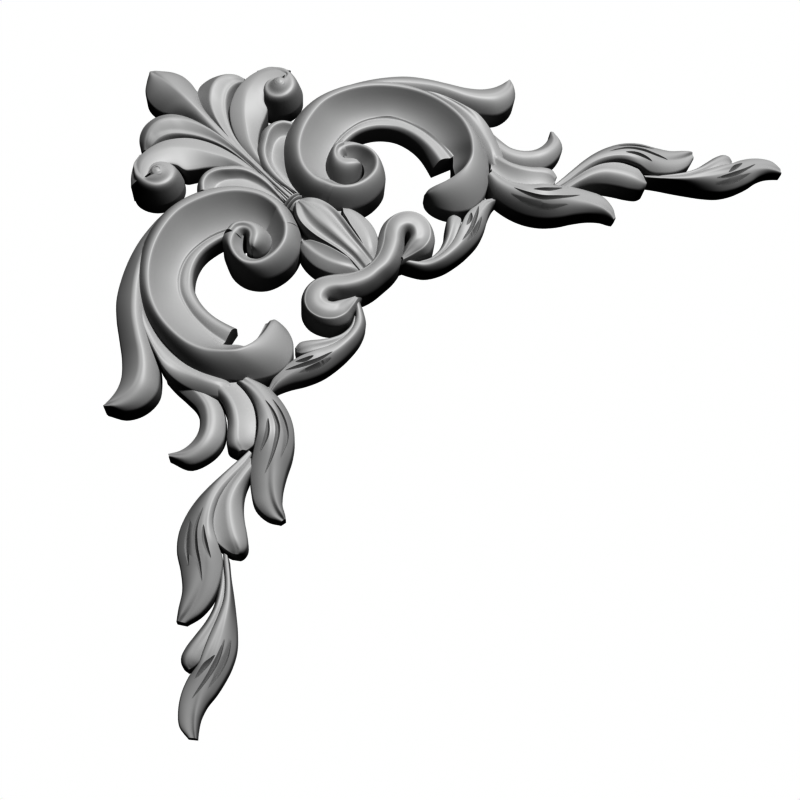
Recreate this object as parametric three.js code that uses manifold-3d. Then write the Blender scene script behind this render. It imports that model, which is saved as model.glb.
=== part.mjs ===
// Carved wood corner applique: one relief carving with a flat back, its two arms mirrored about the corner's diagonal.
// Lengths are millimetres. The carving is drawn lying on its back with the apex at the drawing's origin, the right arm
// running along +x and relief height along z. At the end it is stood up, so that it faces -Y with its back on y = 0.

import * as THREE from 'three';
import Module from 'manifold-3d';

const wasm = await Module();
wasm.setup();

// Driving dimensions
const armLength = 272;          // apex to the tip of the last leaf, along one arm
const reliefHeight = 18.5;      // back to the crest of the scroll's rim
const beadWidth = 5.8;          // half-round bead along the inside of the scroll
const beadDip = 0.55;           // how far the groove beside the bead lies below the trough's edge
const eyeRadius = 6.9;          // ball at the centre of the volute
const bellRadius = 9.3;         // foot of the rolled end of the big curl leaf
const collarWidth = 1.5;        // each of the two bands round the stem
const collarCount = 2;
const gougeWidth = 1.9;         // V cuts in the leaves
const gougeDepth = 1.3;
const crestRounding = 1.1;      // soft edge worked along every ridge
const mountInset = 78;          // place of the fixing point from the apex, across and down

// Proportions of the master drawing, to which the carving's points belong
const drawnArm = 272;
const drawnRelief = 18.5;
const planScale = armLength / drawnArm;
const liftScale = reliefHeight / drawnRelief;

// Fineness of the faceted model
const turnSteps = 10;           // facets round the bell
const stepLength = 12;          // target length of a facet along a form


// Points and rails

// A place given along and across the diagonal, as a point of the drawing
function onDiagonal([along, across, height]) {
  return [(along + across) * Math.SQRT1_2, (across - along) * Math.SQRT1_2, height];
}

// The mirror image of a point of the right arm, on the left arm
function mirrored([x, y, z]) {
  return [-y, -x, z];
}

// Points moved away from a centre of the plan by a factor
function stretched(points, [middleX, middleY], factor) {
  return points.map(([x, y, z]) => [middleX + (x - middleX) * factor, middleY + (y - middleY) * factor, z]);
}

// A smooth curve through a form's points, sized to the part
function rail(points) {
  const places = points.map(([x, y, z]) => new THREE.Vector3(x * planScale, y * planScale, z * liftScale));
  return new THREE.CatmullRomCurve3(places);
}

// A share that starts and ends gently: the slope builds up over the first and dies out over the last share
function eased(share, first, last) {
  const slope = 1 / (1 - first / 2 - last / 2);
  if (share < first) return slope * share * share / (2 * first);
  if (share > 1 - last) return 1 - slope * (1 - share) * (1 - share) / (2 * last);
  return slope * (share - first / 2);
}


// Solids

function toManifold(positions, triangles) {
  const vertProperties = new Float32Array(positions);
  let volume = 0;
  const corner = new THREE.Vector3();
  const second = new THREE.Vector3();
  const third = new THREE.Vector3();
  for (let i = 0; i < triangles.length; i += 3) {
    corner.fromArray(vertProperties, 3 * triangles[i]);
    second.fromArray(vertProperties, 3 * triangles[i + 1]);
    third.fromArray(vertProperties, 3 * triangles[i + 2]);
    volume += corner.dot(second.cross(third)) / 6;
  }
  const triVerts = new Uint32Array(triangles);
  if (volume < 0) {
    for (let i = 0; i < triVerts.length; i += 3) {
      [triVerts[i], triVerts[i + 1]] = [triVerts[i + 1], triVerts[i]];
    }
  }
  return new wasm.Manifold(new wasm.Mesh({ numProp: 3, vertProperties, triVerts }));
}

// The carved surface between rails, as rows of points. Between two rails the height is eased from one to the other,
// with a swell (convex above zero, hollow below) in millimetres. softness is the rounding at each rail.
function carvedRows({ rails, swells, softness, facets, steps }) {
  const curves = rails.map(rail);
  const rows = [];
  for (let i = 0; i <= steps; i += 1) {
    const places = curves.map((curve) => curve.getPoint(i / steps));
    const row = [];
    for (let lane = 0; lane < curves.length - 1; lane += 1) {
      const start = places[lane];
      const end = places[lane + 1];
      const width = Math.hypot(end.x - start.x, end.y - start.y) + 1e-6;
      const first = Math.min(softness[lane] / width, 0.45);
      const last = Math.min(softness[lane + 1] / width, 0.45);
      const taper = Math.min(1, width / 3);
      for (let j = lane === 0 ? 0 : 1; j <= facets[lane]; j += 1) {
        const share = j / facets[lane];
        const rise = eased(share, first, last);
        row.push(new THREE.Vector3(
          start.x + (end.x - start.x) * share,
          start.y + (end.y - start.y) * share,
          start.z + (end.z - start.z) * rise + swells[lane] * taper * liftScale * 4 * rise * (1 - rise),
        ));
      }
    }
    rows.push(row);
  }
  return rows;
}

// Closes rows of surface points with upright walls down to the flat back
function solidUnder(rows) {
  const positions = [];
  const triangles = [];
  const across = rows[0].length;
  for (const row of rows) {
    positions.push(row[0].x, row[0].y, 0);
    for (const point of row) positions.push(point.x, point.y, point.z);
    positions.push(row[across - 1].x, row[across - 1].y, 0);
  }
  const stride = across + 2;
  for (let i = 0; i < rows.length - 1; i += 1) {
    for (let j = 0; j < stride; j += 1) {
      const here = i * stride + j;
      const beside = i * stride + (j + 1) % stride;
      triangles.push(here, beside, beside + stride, here, beside + stride, here + stride);
    }
  }
  const lastRow = (rows.length - 1) * stride;
  for (let j = 1; j < stride - 1; j += 1) {
    triangles.push(0, j + 1, j, lastRow, lastRow + j, lastRow + j + 1);
  }
  return toManifold(positions, triangles);
}

function railLength(points) {
  return rail(points).getLength();
}

// A carved form: its rails, with the fullness between them
function form({ rails, swells, softness, facets, length = stepLength }) {
  const steps = Math.max(6, Math.round(Math.max(...rails.map(railLength)) / length));
  const all = {
    rails,
    swells,
    softness: softness ?? rails.map((_, k) => (k === 0 || k === rails.length - 1 ? 0 : crestRounding)),
    facets: facets ?? swells.map(() => 2),
    steps,
  };
  const rows = carvedRows(all);
  return { rows, solid: solidUnder(rows) };
}

// A stack of rings, each with its own centre, radius and height
function ringStack(rings) {
  const positions = [];
  const triangles = [];
  for (const [x, y, radius, z] of rings) {
    for (let k = 0; k < turnSteps; k += 1) {
      const angle = 2 * Math.PI * k / turnSteps;
      positions.push(
        x * planScale + radius * Math.cos(angle),
        y * planScale + radius * Math.sin(angle),
        z * liftScale,
      );
    }
  }
  for (let i = 0; i < rings.length - 1; i += 1) {
    for (let k = 0; k < turnSteps; k += 1) {
      const here = i * turnSteps + k;
      const beside = i * turnSteps + (k + 1) % turnSteps;
      triangles.push(here, beside, beside + turnSteps, here, beside + turnSteps, here + turnSteps);
    }
  }
  const top = (rings.length - 1) * turnSteps;
  for (let k = 1; k < turnSteps - 1; k += 1) {
    triangles.push(0, k + 1, k, top, top + k, top + k + 1);
  }
  return toManifold(positions, triangles);
}

// Height of a carved surface over a place of the plan, or zero beside it
function heightOn(rows, x, y) {
  for (let i = 0; i < rows.length - 1; i += 1) {
    for (let j = 0; j < rows[i].length - 1; j += 1) {
      const pair = [[rows[i][j], rows[i][j + 1], rows[i + 1][j + 1]], [rows[i][j], rows[i + 1][j + 1], rows[i + 1][j]]];
      for (const [a, b, c] of pair) {
        const area = (b.x - a.x) * (c.y - a.y) - (c.x - a.x) * (b.y - a.y);
        if (Math.abs(area) > 1e-9) {
          const toB = ((x - a.x) * (c.y - a.y) - (c.x - a.x) * (y - a.y)) / area;
          const toC = ((b.x - a.x) * (y - a.y) - (x - a.x) * (b.y - a.y)) / area;
          if (toB >= 0 && toC >= 0 && toB + toC <= 1) return a.z + toB * (b.z - a.z) + toC * (c.z - a.z);
        }
      }
    }
  }
  return 0;
}

// A tapered V cut along a plan line on the carved rows, deepest in its middle and running out at both ends
function gouge(points, rows) {
  const path = rail(points.map(([x, y]) => [x, y, 0]));
  const steps = Math.max(4, Math.round(path.getLength() / stepLength));
  const flare = gougeWidth / 2 / gougeDepth;
  const clearance = 2;
  const positions = [];
  const triangles = [];
  for (let i = 0; i <= steps; i += 1) {
    const share = i / steps;
    const bite = Math.sin(Math.PI * share);
    const place = path.getPoint(share);
    const heading = path.getTangent(share);
    const reach = Math.hypot(heading.x, heading.y);
    const side = new THREE.Vector2(-heading.y / reach, heading.x / reach);
    const depth = gougeDepth * bite - 0.15 * (1 - bite);
    const spread = flare * (clearance + depth);
    const height = heightOn(rows, place.x, place.y);
    positions.push(place.x, place.y, height - depth);
    positions.push(place.x + side.x * spread, place.y + side.y * spread, height + clearance);
    positions.push(place.x - side.x * spread, place.y - side.y * spread, height + clearance);
  }
  for (let i = 0; i < steps; i += 1) {
    for (let j = 0; j < 3; j += 1) {
      const here = 3 * i + j;
      const beside = 3 * i + (j + 1) % 3;
      triangles.push(here, beside, beside + 3, here, beside + 3, here + 3);
    }
  }
  triangles.push(0, 2, 1, 3 * steps, 3 * steps + 1, 3 * steps + 2);
  return toManifold(positions, triangles);
}


// The scroll: a rim that coils into a volute, a sloping trough and a bead along its inside

const scrollRim = {
  outer: [
    [115.8, -54.8, 4.8], [116.6, -58, 5.6], [120, -61.5, 6.5], [126.4, -63.8, 7.5], [133.9, -62.8, 8], [140.1, -56.8, 8.5], [142.9, -47, 8.8],
    [142.5, -36, 9], [139.2, -27, 9], [133.2, -19, 9.3], [125.3, -12, 9.5], [115, -6, 9.8], [104, -2.7, 10],
    [92, -2.6, 10], [79.5, -6, 10], [69, -12.3, 10], [61.8, -21.5, 10], [58, -31, 9.5], [57.2, -40.5, 9.2],
    [59.5, -51, 9], [66, -60, 9], [75.5, -65.2, 9],
  ],
  crest: [
    [115.9, -54.5, 5.4], [117.4, -55.1, 9.8], [120.4, -55, 12.9], [126.6, -52.3, 15.8], [131.6, -48.3, 17.6], [134.6, -43, 18.4], [135.1, -37.5, 18.4],
    [134.4, -31.5, 18], [131.5, -24.5, 17.9], [126.2, -18.2, 17.7], [119.5, -13, 17.4], [111.2, -9.4, 17.2], [102, -7.9, 17.3],
    [92, -8.6, 17.6], [82, -11.9, 17.8], [73.3, -17.8, 18], [67.3, -27, 18.2], [64.4, -35, 18.1], [63.7, -42, 17.9],
    [65.6, -50, 17.7], [70.6, -56, 17.5], [78.2, -59.4, 17.5],
  ],
  foot: [
    [116, -54.1, 4.6], [117.4, -52.9, 6.8], [119.8, -52.4, 9.2], [125.4, -50.6, 11.3], [128.4, -47.6, 9], [127.8, -42.5, 8.8], [127.7, -37, 9],
    [124, -31.8, 9.4], [119.9, -27.5, 9.5], [115.5, -23.8, 9.5], [110.9, -21, 9.4], [106.2, -19, 9.4], [101, -18.2, 9.6],
    [95.2, -18.8, 9.4], [89.5, -21, 9.4], [84.6, -24.7, 9.4], [80.3, -29.6, 9.5], [77.3, -35, 9.5], [75.6, -41, 9.5],
    [75.6, -47, 9.5], [77.6, -51.5, 9.6], [81, -53.4, 9.8],
  ],
};

const volute = {
  outer: [
    [66, -60, 9], [75.5, -65.2, 9], [86, -65.3, 9], [94, -60.8, 9], [99.1, -53, 9.2], [98.9, -45.3, 9.5],
    [95, -39.6, 10.5], [88.7, -36.3, 11.5], [82.5, -34.7, 12], [77.2, -37.6, 12],
  ],
  crest: [
    [70.6, -56, 17.5], [78.2, -59.4, 17.5], [85.5, -59, 17.3], [91.5, -55.2, 16.8], [95.2, -49.5, 16.4], [95.3, -44, 16.5],
    [92.2, -40.3, 16.8], [87.8, -38.4, 16.6], [83.6, -38.9, 16.6], [80.7, -40.6, 16.6],
  ],
  foot: [
    [77.6, -51.5, 9.6], [81, -53.4, 9.8], [84.5, -53.9, 10], [88.4, -51.9, 10], [90.5, -48.7, 10.3], [90.3, -45.6, 10.8],
    [88.8, -43.6, 11.3], [86.5, -42.9, 11.8], [84.3, -42.9, 12.6], [82.4, -43.2, 13.6],
  ],
};

// The ball carries on the coil's lines: the rim hooks round the end of the channel and runs out in a soft tail
const eye = {
  centre: [82.6, -48.2],
  drawnRadius: 6.9,
  outer: [
    [80.8, -35, 11], [77, -37.6, 11], [75.3, -42, 10.6], [75.2, -47.2, 10], [77.2, -51.9, 9.6], [81.2, -54.3, 9.4],
    [85.4, -53.6, 9.4], [88.6, -50.7, 9.4], [89.9, -47.2, 9.6],
  ],
  crest: [
    [82.4, -39.4, 16.5], [80.4, -40.9, 16.6], [79.8, -42.8, 16.6], [80.3, -44.6, 16.7], [81.7, -45.8, 16.9],
    [83.6, -46.1, 17], [85.6, -45.8, 16.8], [87.4, -45.9, 16.2], [88.9, -46.6, 14.8],
  ],
  foot: [
    [83.6, -42.6, 13], [82.5, -42.7, 13.6], [81.9, -43.2, 14.2], [82, -43.8, 14.4], [82.8, -44.2, 14], [84, -44.3, 13.2],
    [85.8, -44.3, 12.2], [87.7, -44.6, 11.2], [89.6, -46, 10.4],
  ],
  swells: [3, 0.4],
};

// The bead follows the trough's foot. It narrows to nothing beside the eye and widens at its free end.
const beadLine = [
  [76, -39.5], [77.3, -35], [80.3, -29.6], [84.6, -24.7], [89.5, -21], [95.2, -18.8], [101, -18.2],
  [106.2, -19], [110.9, -21], [115.5, -23.8], [119.9, -27.5], [124, -31.8], [128, -37.4],
];
const beadInner = [
  [79.8, -38.2], [81.5, -34.7], [84.2, -31.1], [87.3, -28], [91, -25.8], [95.7, -24.4], [100.5, -24.2],
  [104.6, -25], [108.4, -26.9], [112.1, -29.8], [115, -33.2], [117.2, -37], [119.5, -41.9],
];

function scrollBead() {
  const drawnBead = 5.8;
  const stretch = beadWidth / drawnBead;
  const footHeight = 9.5;
  const place = (k, share, z) => [
    beadLine[k][0] + (beadInner[k][0] - beadLine[k][0]) * share * stretch,
    beadLine[k][1] + (beadInner[k][1] - beadLine[k][1]) * share * stretch,
    z,
  ];
  const stations = beadLine.map((_, k) => k);
  const fullness = (k) => Math.max(0, (k - 6) / (stations.length - 7));
  return form({
    rails: [
      stations.map((k) => place(k, -0.2, footHeight - 0.3)),
      stations.map((k) => place(k, 0, footHeight - 0.1)),
      stations.map((k) => place(k, 0.14, footHeight - beadDip)),
      stations.map((k) => place(k, 0.6, footHeight + 0.1 + fullness(k))),
      stations.map((k) => place(k, 1, footHeight - 1.3 - 2.4 * fullness(k))),
    ],
    swells: [0, 0, 0.2, 0.5],
    softness: [0, 0.2, 0.6, 1.2, 0],
    facets: [1, 1, 1, 2],
  });
}

function scroll() {
  const rim = form({
    rails: [scrollRim.outer, scrollRim.crest, scrollRim.foot],
    swells: [1.5, -1.2],
    facets: [2, 2],
  });
  const coil = form({
    rails: [volute.outer, volute.crest, volute.foot],
    swells: [1.2, -0.3],
    facets: [2, 2],
  });
  const ball = form({
    rails: [eye.outer, eye.crest, eye.foot].map((points) => stretched(points, eye.centre, eyeRadius / eye.drawnRadius)),
    swells: eye.swells,
    facets: [4, 2],
    length: 6,
  });
  return rim.solid.add(coil.solid).add(scrollBead().solid).add(ball.solid);
}


// Tendrils on the back of the scroll

const hook = {
  outer: [
    [65.6, -15.5, 8], [70.4, -9.8, 8], [76.2, -5.6, 8], [83.5, -1.6, 8], [91.2, 1.3, 8], [99.5, 3.3, 8.2], [109, 4.5, 8.2],
    [118, 3.7, 8.1], [127, 1.8, 8], [135, 0.2, 7.7], [142, -0.2, 7.8], [146.8, 0.8, 8], [149.8, 2.2, 8.2], [152.2, 3.8, 8.3],
    [154, 5.2, 8.4],
  ],
  ridge: [
    [68, -17, 10.4], [72.6, -12.6, 11], [78.6, -9.4, 11.8], [86, -6.9, 13], [94, -4.5, 14.2], [102, -3.2, 14.6], [110, -2.9, 14.5],
    [118.5, -3.5, 14.4], [127, -5.4, 14.2], [134.5, -7.2, 13.6], [141, -7.6, 13.2], [147, -6.2, 12.7], [151, -3, 11.7],
    [153.3, 1, 10.4], [154.3, 4.8, 8.8],
  ],
  inner: [
    [71, -19, 8], [76, -15.5, 8], [83, -12.8, 8], [90, -11, 8], [97, -9, 8], [104, -8.5, 8], [112, -9, 8], [120, -10, 8],
    [127.5, -11.7, 8], [134, -13.3, 8], [140.7, -14.4, 8], [148.2, -13.9, 8], [154, -9.2, 8], [156.4, -2.6, 8], [154.7, 4.4, 8],
  ],
};

const sprout = {
  outer: [
    [116, -4.6, 9.5], [122, -6.2, 10.3], [128, -9.1, 11.2], [134, -12.6, 11.6], [139.5, -15.9, 11], [143.6, -20.3, 9.4],
    [146.7, -26, 8], [148.7, -31.8, 7.8], [149.6, -37.3, 8.2], [147.6, -41.4, 8.4],
  ],
  ridge: [
    [113, -5.6, 12.8], [119, -6.7, 12.8], [124.5, -9, 12.4], [130, -12, 12], [135.2, -16.4, 11.6], [139.2, -21.6, 11.1],
    [142, -27.5, 11], [143.8, -32, 11.1], [144.9, -36.5, 10.8], [145.6, -40.2, 9.6],
  ],
  inner: [
    [112, -7.5, 9], [117, -9.5, 9], [122.5, -12.5, 9], [127.5, -16, 9], [132.3, -20.5, 9], [136.3, -25.5, 9],
    [139.3, -31, 9], [141, -35.5, 9], [142.3, -39, 8.6], [144, -41.5, 8.2],
  ],
};

const smallHook = {
  outer: [
    [141, -16.4, 4.6], [145, -20, 4.7], [149.2, -24.6, 4.9], [153.5, -28.6, 5.2], [158.5, -30.1, 5.4],
    [163, -29.5, 5.3], [167.2, -27, 5.3], [170, -23.5, 5.3], [171.3, -19.4, 5.3],
  ],
  ridge: [
    [141, -22, 7.6], [145, -25.8, 8], [149, -29.8, 8.3], [153.5, -32.6, 8.5], [159, -33.6, 8.8],
    [164.7, -33, 9.2], [169.4, -30.4, 9], [172.2, -25.8, 8], [172, -19.7, 5.7],
  ],
  inner: [
    [141, -29, 5.5], [145, -33.4, 5.5], [149.2, -36.8, 5.6], [154.3, -39, 5.7], [160.1, -39.9, 5.8],
    [166.5, -39.2, 5.8], [172, -35.4, 5.8], [176, -27.6, 5.6], [172.8, -19.8, 5.3],
  ],
};

function tendrils() {
  return form({ rails: [hook.outer, hook.ridge, hook.inner], swells: [0.5, 1.4], facets: [2, 2] }).solid
    .add(form({ rails: [sprout.outer, sprout.ridge, sprout.inner], swells: [0.5, 0.3] }).solid)
    .add(form({ rails: [smallHook.outer, smallHook.ridge, smallHook.inner], swells: [0.2, 0.9] }).solid);
}


// Leaves. Each has a side lobe and a blade that lies over it.

const leaves = [
  {
    blade: {
      upper: [
        [143.8, -43, 9], [147.5, -46.6, 9.6], [152.5, -49.8, 10.6], [158.5, -51.5, 12], [165, -51.8, 13.2], [171, -50.5, 10.6],
        [178, -49.6, 8.4], [185, -50.1, 6.8], [191.2, -52, 6], [195.4, -56.6, 4.8], [196.6, -61.3, 4],
      ],
      ridge: [
        [143.7, -45.3, 11], [146.8, -49.5, 11.8], [152, -53.6, 12.8], [158, -56.2, 14], [164.5, -57.3, 14.5], [171, -57, 13.5],
        [178, -56.2, 11.3], [185, -56.3, 9.3], [190.3, -57.8, 7.6], [194, -60, 5.8], [195.8, -62.2, 4.4],
      ],
      lower: [
        [141.2, -48, 7.5], [144, -54.6, 6.5], [149.8, -60.1, 6.5], [156.8, -63.8, 6.8], [164.3, -65.3, 7.2], [171.5, -64.7, 7.5],
        [178.5, -62.8, 7.2], [185, -61.6, 6.4], [190.5, -61.7, 5.4], [193.7, -62.7, 4.4], [195.4, -63, 4],
      ],
      swells: [0.7, 1.6],
    },
    lobe: {
      upper: [
        [145, -31.5, 7], [148.2, -35.2, 7.6], [151.6, -38.1, 7.9], [155.8, -39.9, 8.1], [160.8, -40.6, 8.2], [165.6, -40.4, 8.2],
        [169.6, -41.2, 8.1], [171.8, -44.8, 8],
      ],
      ridge: [
        [144.5, -36.5, 10.2], [148, -39.3, 10.8], [151.9, -41.8, 11.2], [156.2, -43.4, 11.5], [161.2, -44.2, 11.6], [165.4, -44.3, 11.4],
        [168.6, -44.9, 10.9], [170.9, -46.5, 9.5],
      ],
      lower: [
        [143.5, -43.5, 9], [147.5, -47, 9], [152, -50, 9.2], [156.5, -52, 9.4], [161, -53, 9.6], [165.3, -52.4, 9.6],
        [168.6, -50.8, 9.2], [170.7, -48.4, 8.6],
      ],
      swells: [0.8, -0.4],
    },
    cuts: [
      [[159.8, -55.6], [166.5, -55.4], [173, -52.8]],
      [[151.9, -54], [157.4, -57.4], [163.7, -59.4], [172.1, -58.1], [180.9, -54.9]],
      [[151.1, -56.7], [156, -59.9], [160.8, -61.9], [166.4, -62.8], [174.9, -60.6]],
    ],
  },
  {
    blade: {
      upper: [
        [170, -48.3, 6], [174, -44.7, 6], [179, -39.9, 6], [184, -35.1, 6.2], [189, -31.1, 6.5], [195, -27.7, 6.8],
        [202, -25.5, 7.2], [209, -25.4, 7.5], [216, -27.2, 7.4], [222.5, -28.1, 6.8], [228.7, -27.1, 5.8], [232.9, -26.6, 4.7],
      ],
      ridge: [
        [171, -49.5, 8], [175, -46.5, 9], [180.5, -42.3, 10.5], [186, -38.6, 12], [191.5, -36.3, 13], [198, -35, 13.6],
        [204.5, -35, 13.7], [210.5, -36, 12.8], [216.5, -36, 10.9], [222.5, -34.6, 9], [228.4, -31.8, 7], [233.2, -28.3, 5],
      ],
      lower: [
        [172, -50.5, 7], [176.5, -48, 8], [182, -44, 9.3], [187.5, -40.5, 10.6], [193, -38.4, 11.6], [199.5, -37.8, 12.2],
        [206.6, -39.8, 12], [212, -41.7, 9.6], [218, -41.3, 8.6], [224.6, -39.2, 7.4], [230.3, -35, 6], [233.6, -30, 4.7],
      ],
      swells: [1.4, 0.5],
    },
    lobe: {
      upper: [
        [173, -48.6, 8], [178, -45, 9], [183.5, -41, 10], [189, -37.8, 10.6], [195, -36.4, 10.8], [201, -36.8, 10.6],
        [205.7, -39, 10.2], [208.5, -42.3, 9.4], [209.6, -44.4, 8.6],
      ],
      ridge: [
        [174, -50.5, 8.5], [180, -47, 10], [185.5, -44, 11], [191, -42.4, 11.6], [197, -42.6, 11.7], [202.5, -43.8, 11.5],
        [206, -45.2, 11], [208.7, -46.4, 9.8], [210, -46.2, 8.8],
      ],
      lower: [
        [176, -52, 7], [181.6, -49.2, 7.4], [186.5, -47.8, 7.6], [191.5, -47.6, 7.8], [197, -48.4, 8], [202.5, -49.6, 8],
        [207, -49.9, 8], [209.3, -48.6, 8], [210, -47.4, 8],
      ],
      swells: [-0.3, 0.9],
    },
    cuts: [
      [[200.5, -34.6], [205, -35], [208.8, -36.1], [212.6, -37.9]],
      [[193.6, -34.2], [201.7, -31.8], [208.4, -32.1], [214.2, -33.7], [220.5, -35.1]],
      [[198, -29.6], [204.1, -28.7], [209, -28.9], [214.6, -30]],
    ],
  },
  {
    blade: {
      upper: [
        [209, -41.4, 7], [214, -42, 8], [220, -42.8, 9], [226, -42.6, 9.6], [232, -41, 10.1], [238, -38.8, 10.5], [243.5, -37, 10.7],
        [247.8, -35.6, 10.2], [252.1, -32.3, 7.6], [257.5, -30.1, 6.5], [263, -29.4, 5.9], [268.1, -30.1, 5.2], [271.6, -33, 4.4],
      ],
      ridge: [
        [210, -43, 8], [215, -44, 9], [221, -44.6, 10], [227, -44.4, 10.8], [233, -43.4, 11.2], [239, -42, 11.2], [244.5, -40.3, 11],
        [249.5, -38.4, 10.2], [254.5, -36.4, 9], [259.5, -34.8, 7.8], [264.5, -34, 6.7], [268.8, -34.3, 5.6], [271.7, -35, 4.6],
      ],
      lower: [
        [211, -43.6, 5], [216.5, -44.4, 5], [222.7, -45.6, 5], [229.3, -46.7, 5], [236, -47.6, 5.2], [242.6, -47.7, 5.5], [248.5, -46.2, 5.7],
        [253.2, -44, 5.7], [257.4, -41.5, 5.5], [261.3, -38.6, 5.2], [265.4, -36.8, 4.8], [269.3, -36.2, 4.4], [271.9, -36.1, 4.1],
      ],
      swells: [0.5, 1.1],
    },
    lobe: {
      upper: [
        [212, -40.6, 5], [217, -40.6, 5.5], [222, -40.2, 5.8], [228, -39.1, 6.1], [233, -36.8, 6.3], [238, -33.4, 6.6],
        [242, -30.7, 6.8], [245.5, -29.3, 6.8], [248.3, -29.8, 6.4], [249.9, -31.8, 6],
      ],
      ridge: [
        [212, -42, 6.5], [217.5, -42, 8], [223, -41.7, 9], [229, -40.5, 9.5], [234.5, -38.3, 9.7], [239.5, -35.3, 9.8],
        [243, -33.2, 9.6], [246, -32, 9.2], [248, -31.9, 8.2], [249.4, -32.6, 6.8],
      ],
      lower: [
        [212, -43.4, 7], [218, -43.8, 8], [224, -43.8, 8.8], [230, -42.8, 9.2], [235.5, -40.9, 9.4], [241, -38.6, 9.6],
        [244.8, -37, 9.6], [247.3, -35.8, 9], [248.5, -34.6, 8], [249.3, -33.3, 6.8],
      ],
      swells: [0.5, -0.3],
    },
    cuts: [
      [[245.3, -41.1], [249.2, -37.8], [253.2, -34.4]],
      [[240, -44], [246.7, -42], [251.2, -39.7], [259.8, -33.6]],
      [[240.1, -46], [245.8, -44.8], [250.8, -42.6], [256.4, -39]],
    ],
  },
];

const sprig = {
  blade: {
    upper: [
      [104.4, -86.4, 8.4], [110.8, -87.5, 7.6], [116, -87.2, 7.8], [120.9, -84.8, 8.4], [125.5, -80, 9], [128.3, -75.3, 9.8],
      [130.3, -70.8, 10.3], [132, -66.3, 9.3], [134.8, -61.8, 7.8], [139, -57.2, 6.8], [146, -54, 5.2],
    ],
    ridge: [
      [103.4, -87, 9.2], [110.2, -88.6, 8.8], [115.8, -88.9, 8.8], [121.4, -86.7, 9.6], [127, -82, 10.1], [131, -77, 10.4],
      [134.2, -72, 10.4], [136.5, -67, 9.9], [138.5, -62.5, 9], [141.5, -58.2, 7.6], [146.8, -54.7, 5.3],
    ],
    lower: [
      [102.8, -88.2, 5.2], [109.4, -90.7, 5], [115.6, -91.8, 5], [122.4, -89.8, 5.2], [129, -85.2, 5.4], [134.1, -80.2, 5.6],
      [138, -75.1, 5.7], [140.8, -69, 5.7], [142.6, -63, 5.5], [144.8, -58.2, 5.2], [147.8, -54.8, 4.8],
    ],
    swells: [0.2, 1],
  },
  lobe: {
    upper: [
      [112, -87, 5.5], [117, -85.4, 6], [120.8, -82.1, 6.5], [122.8, -78.3, 7], [123.8, -74.2, 7.2], [124.3, -70, 7.3],
      [125.2, -66.3, 7.1], [127.3, -64.5, 6.6],
    ],
    ridge: [
      [113, -87.5, 7], [118.5, -86, 8], [122.3, -82.6, 9], [124.6, -78.3, 9.6], [126, -73.8, 9.8], [127, -69.5, 9.6],
      [127.9, -66.5, 8.8], [128.4, -65, 7.2],
    ],
    lower: [
      [114, -88, 7.5], [119.8, -86.6, 8.2], [124.4, -83, 8.8], [127.4, -78.2, 9.1], [129.3, -73.2, 9.3], [130.5, -69.2, 9.1],
      [130.6, -66.8, 8.1], [129.6, -65, 6.8],
    ],
    swells: [0.5, -0.2],
  },
  cuts: [
    [[132.3, -71.8], [134, -68.4], [134.6, -64.6]],
    [[130.2, -79.1], [134, -73.3], [136.4, -66.9], [138, -60.7]],
    [[132.6, -78.6], [136.4, -73.4], [139.1, -66.2]],
  ],
};

function leaf({ blade, lobe, cuts }) {
  const body = form({ rails: [blade.upper, blade.ridge, blade.lower], swells: blade.swells, facets: [2, 2] });
  const lobeSolid = form({ rails: [lobe.upper, lobe.ridge, lobe.lower], swells: lobe.swells }).solid;
  return cuts.reduce((solid, line) => solid.subtract(gouge(line, body.rows)), body.solid.add(lobeSolid));
}


// The crown at the corner: apex leaf, lobes, curl leaves, cupped leaves, all gathered into the collar

const apexLeaf = {
  edge: [
    [-0.5, 0.6, 8], [1.9, 4.1, 7.8], [4.9, 7.4, 7.4], [8.7, 9.6, 6.8], [12.8, 10.1, 6.3], [16.9, 9.5, 6.2], [20.4, 8.1, 7.2],
    [24.4, 6, 7.9], [30, 3.9, 8.4], [42, 2.6, 8.4], [62, 1.5, 8.3], [88, 1.1, 8],
  ],
  ridge: [
    [-0.3, 0, 9.2], [4, 0, 10.9], [8, 0, 12.4], [12, 0, 13.3], [16, 0, 13.8], [20, 0, 13.9], [24, 0, 13.7],
    [28.5, 0, 13.1], [34, 0, 12.2], [44, 0, 11.2], [62, 0, 10.5], [88, 0, 9.8],
  ],
};

const sideLobe = {
  outer: [
    [39.5, 0.6, 6.5], [35.4, 2, 7], [30.6, 2, 7], [25.4, 0.2, 6.6], [20.9, -4.2, 6.4], [20, -10, 7.4],
    [21.4, -15.8, 8], [25, -22.4, 8.3], [31.3, -29.8, 8.5], [43, -43, 8], [61.6, -60.2, 7.8],
  ],
  ridge: [
    [39.3, -0.8, 8], [35.6, -1.3, 10.6], [31.4, -2.7, 12], [28.2, -5.7, 12.8], [26.4, -9.9, 12.8], [26, -14.7, 12.3],
    [27.3, -20.5, 11.9], [30.3, -27, 11.5], [34.8, -33.5, 10.9], [45, -44, 10], [61.9, -59.8, 9.6],
  ],
  shoulder: [
    [39.6, -1.6, 7.6], [37.6, -3.4, 9.8], [34.9, -5.8, 10.8], [32.9, -9, 11.1], [32, -12.8, 11], [32, -17.6, 10.7],
    [33, -23.3, 10.4], [35.3, -29.6, 10.1], [38.9, -35.6, 9.8], [46.6, -44.7, 9.4], [62.1, -59.6, 9],
  ],
  inner: [
    [39.8, -2.2, 6.4], [38.7, -4.4, 6.4], [36.7, -7.2, 6.4], [35, -10.8, 6.4], [34.2, -14.6, 6.4], [34.2, -19.8, 6.6],
    [35.2, -25.4, 6.8], [37.4, -31.4, 7], [41, -37.2, 7.2], [48.5, -45.6, 7.4], [62.3, -59.4, 7.6],
  ],
  swells: [0.3, 0.1, 0.5],
};

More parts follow.
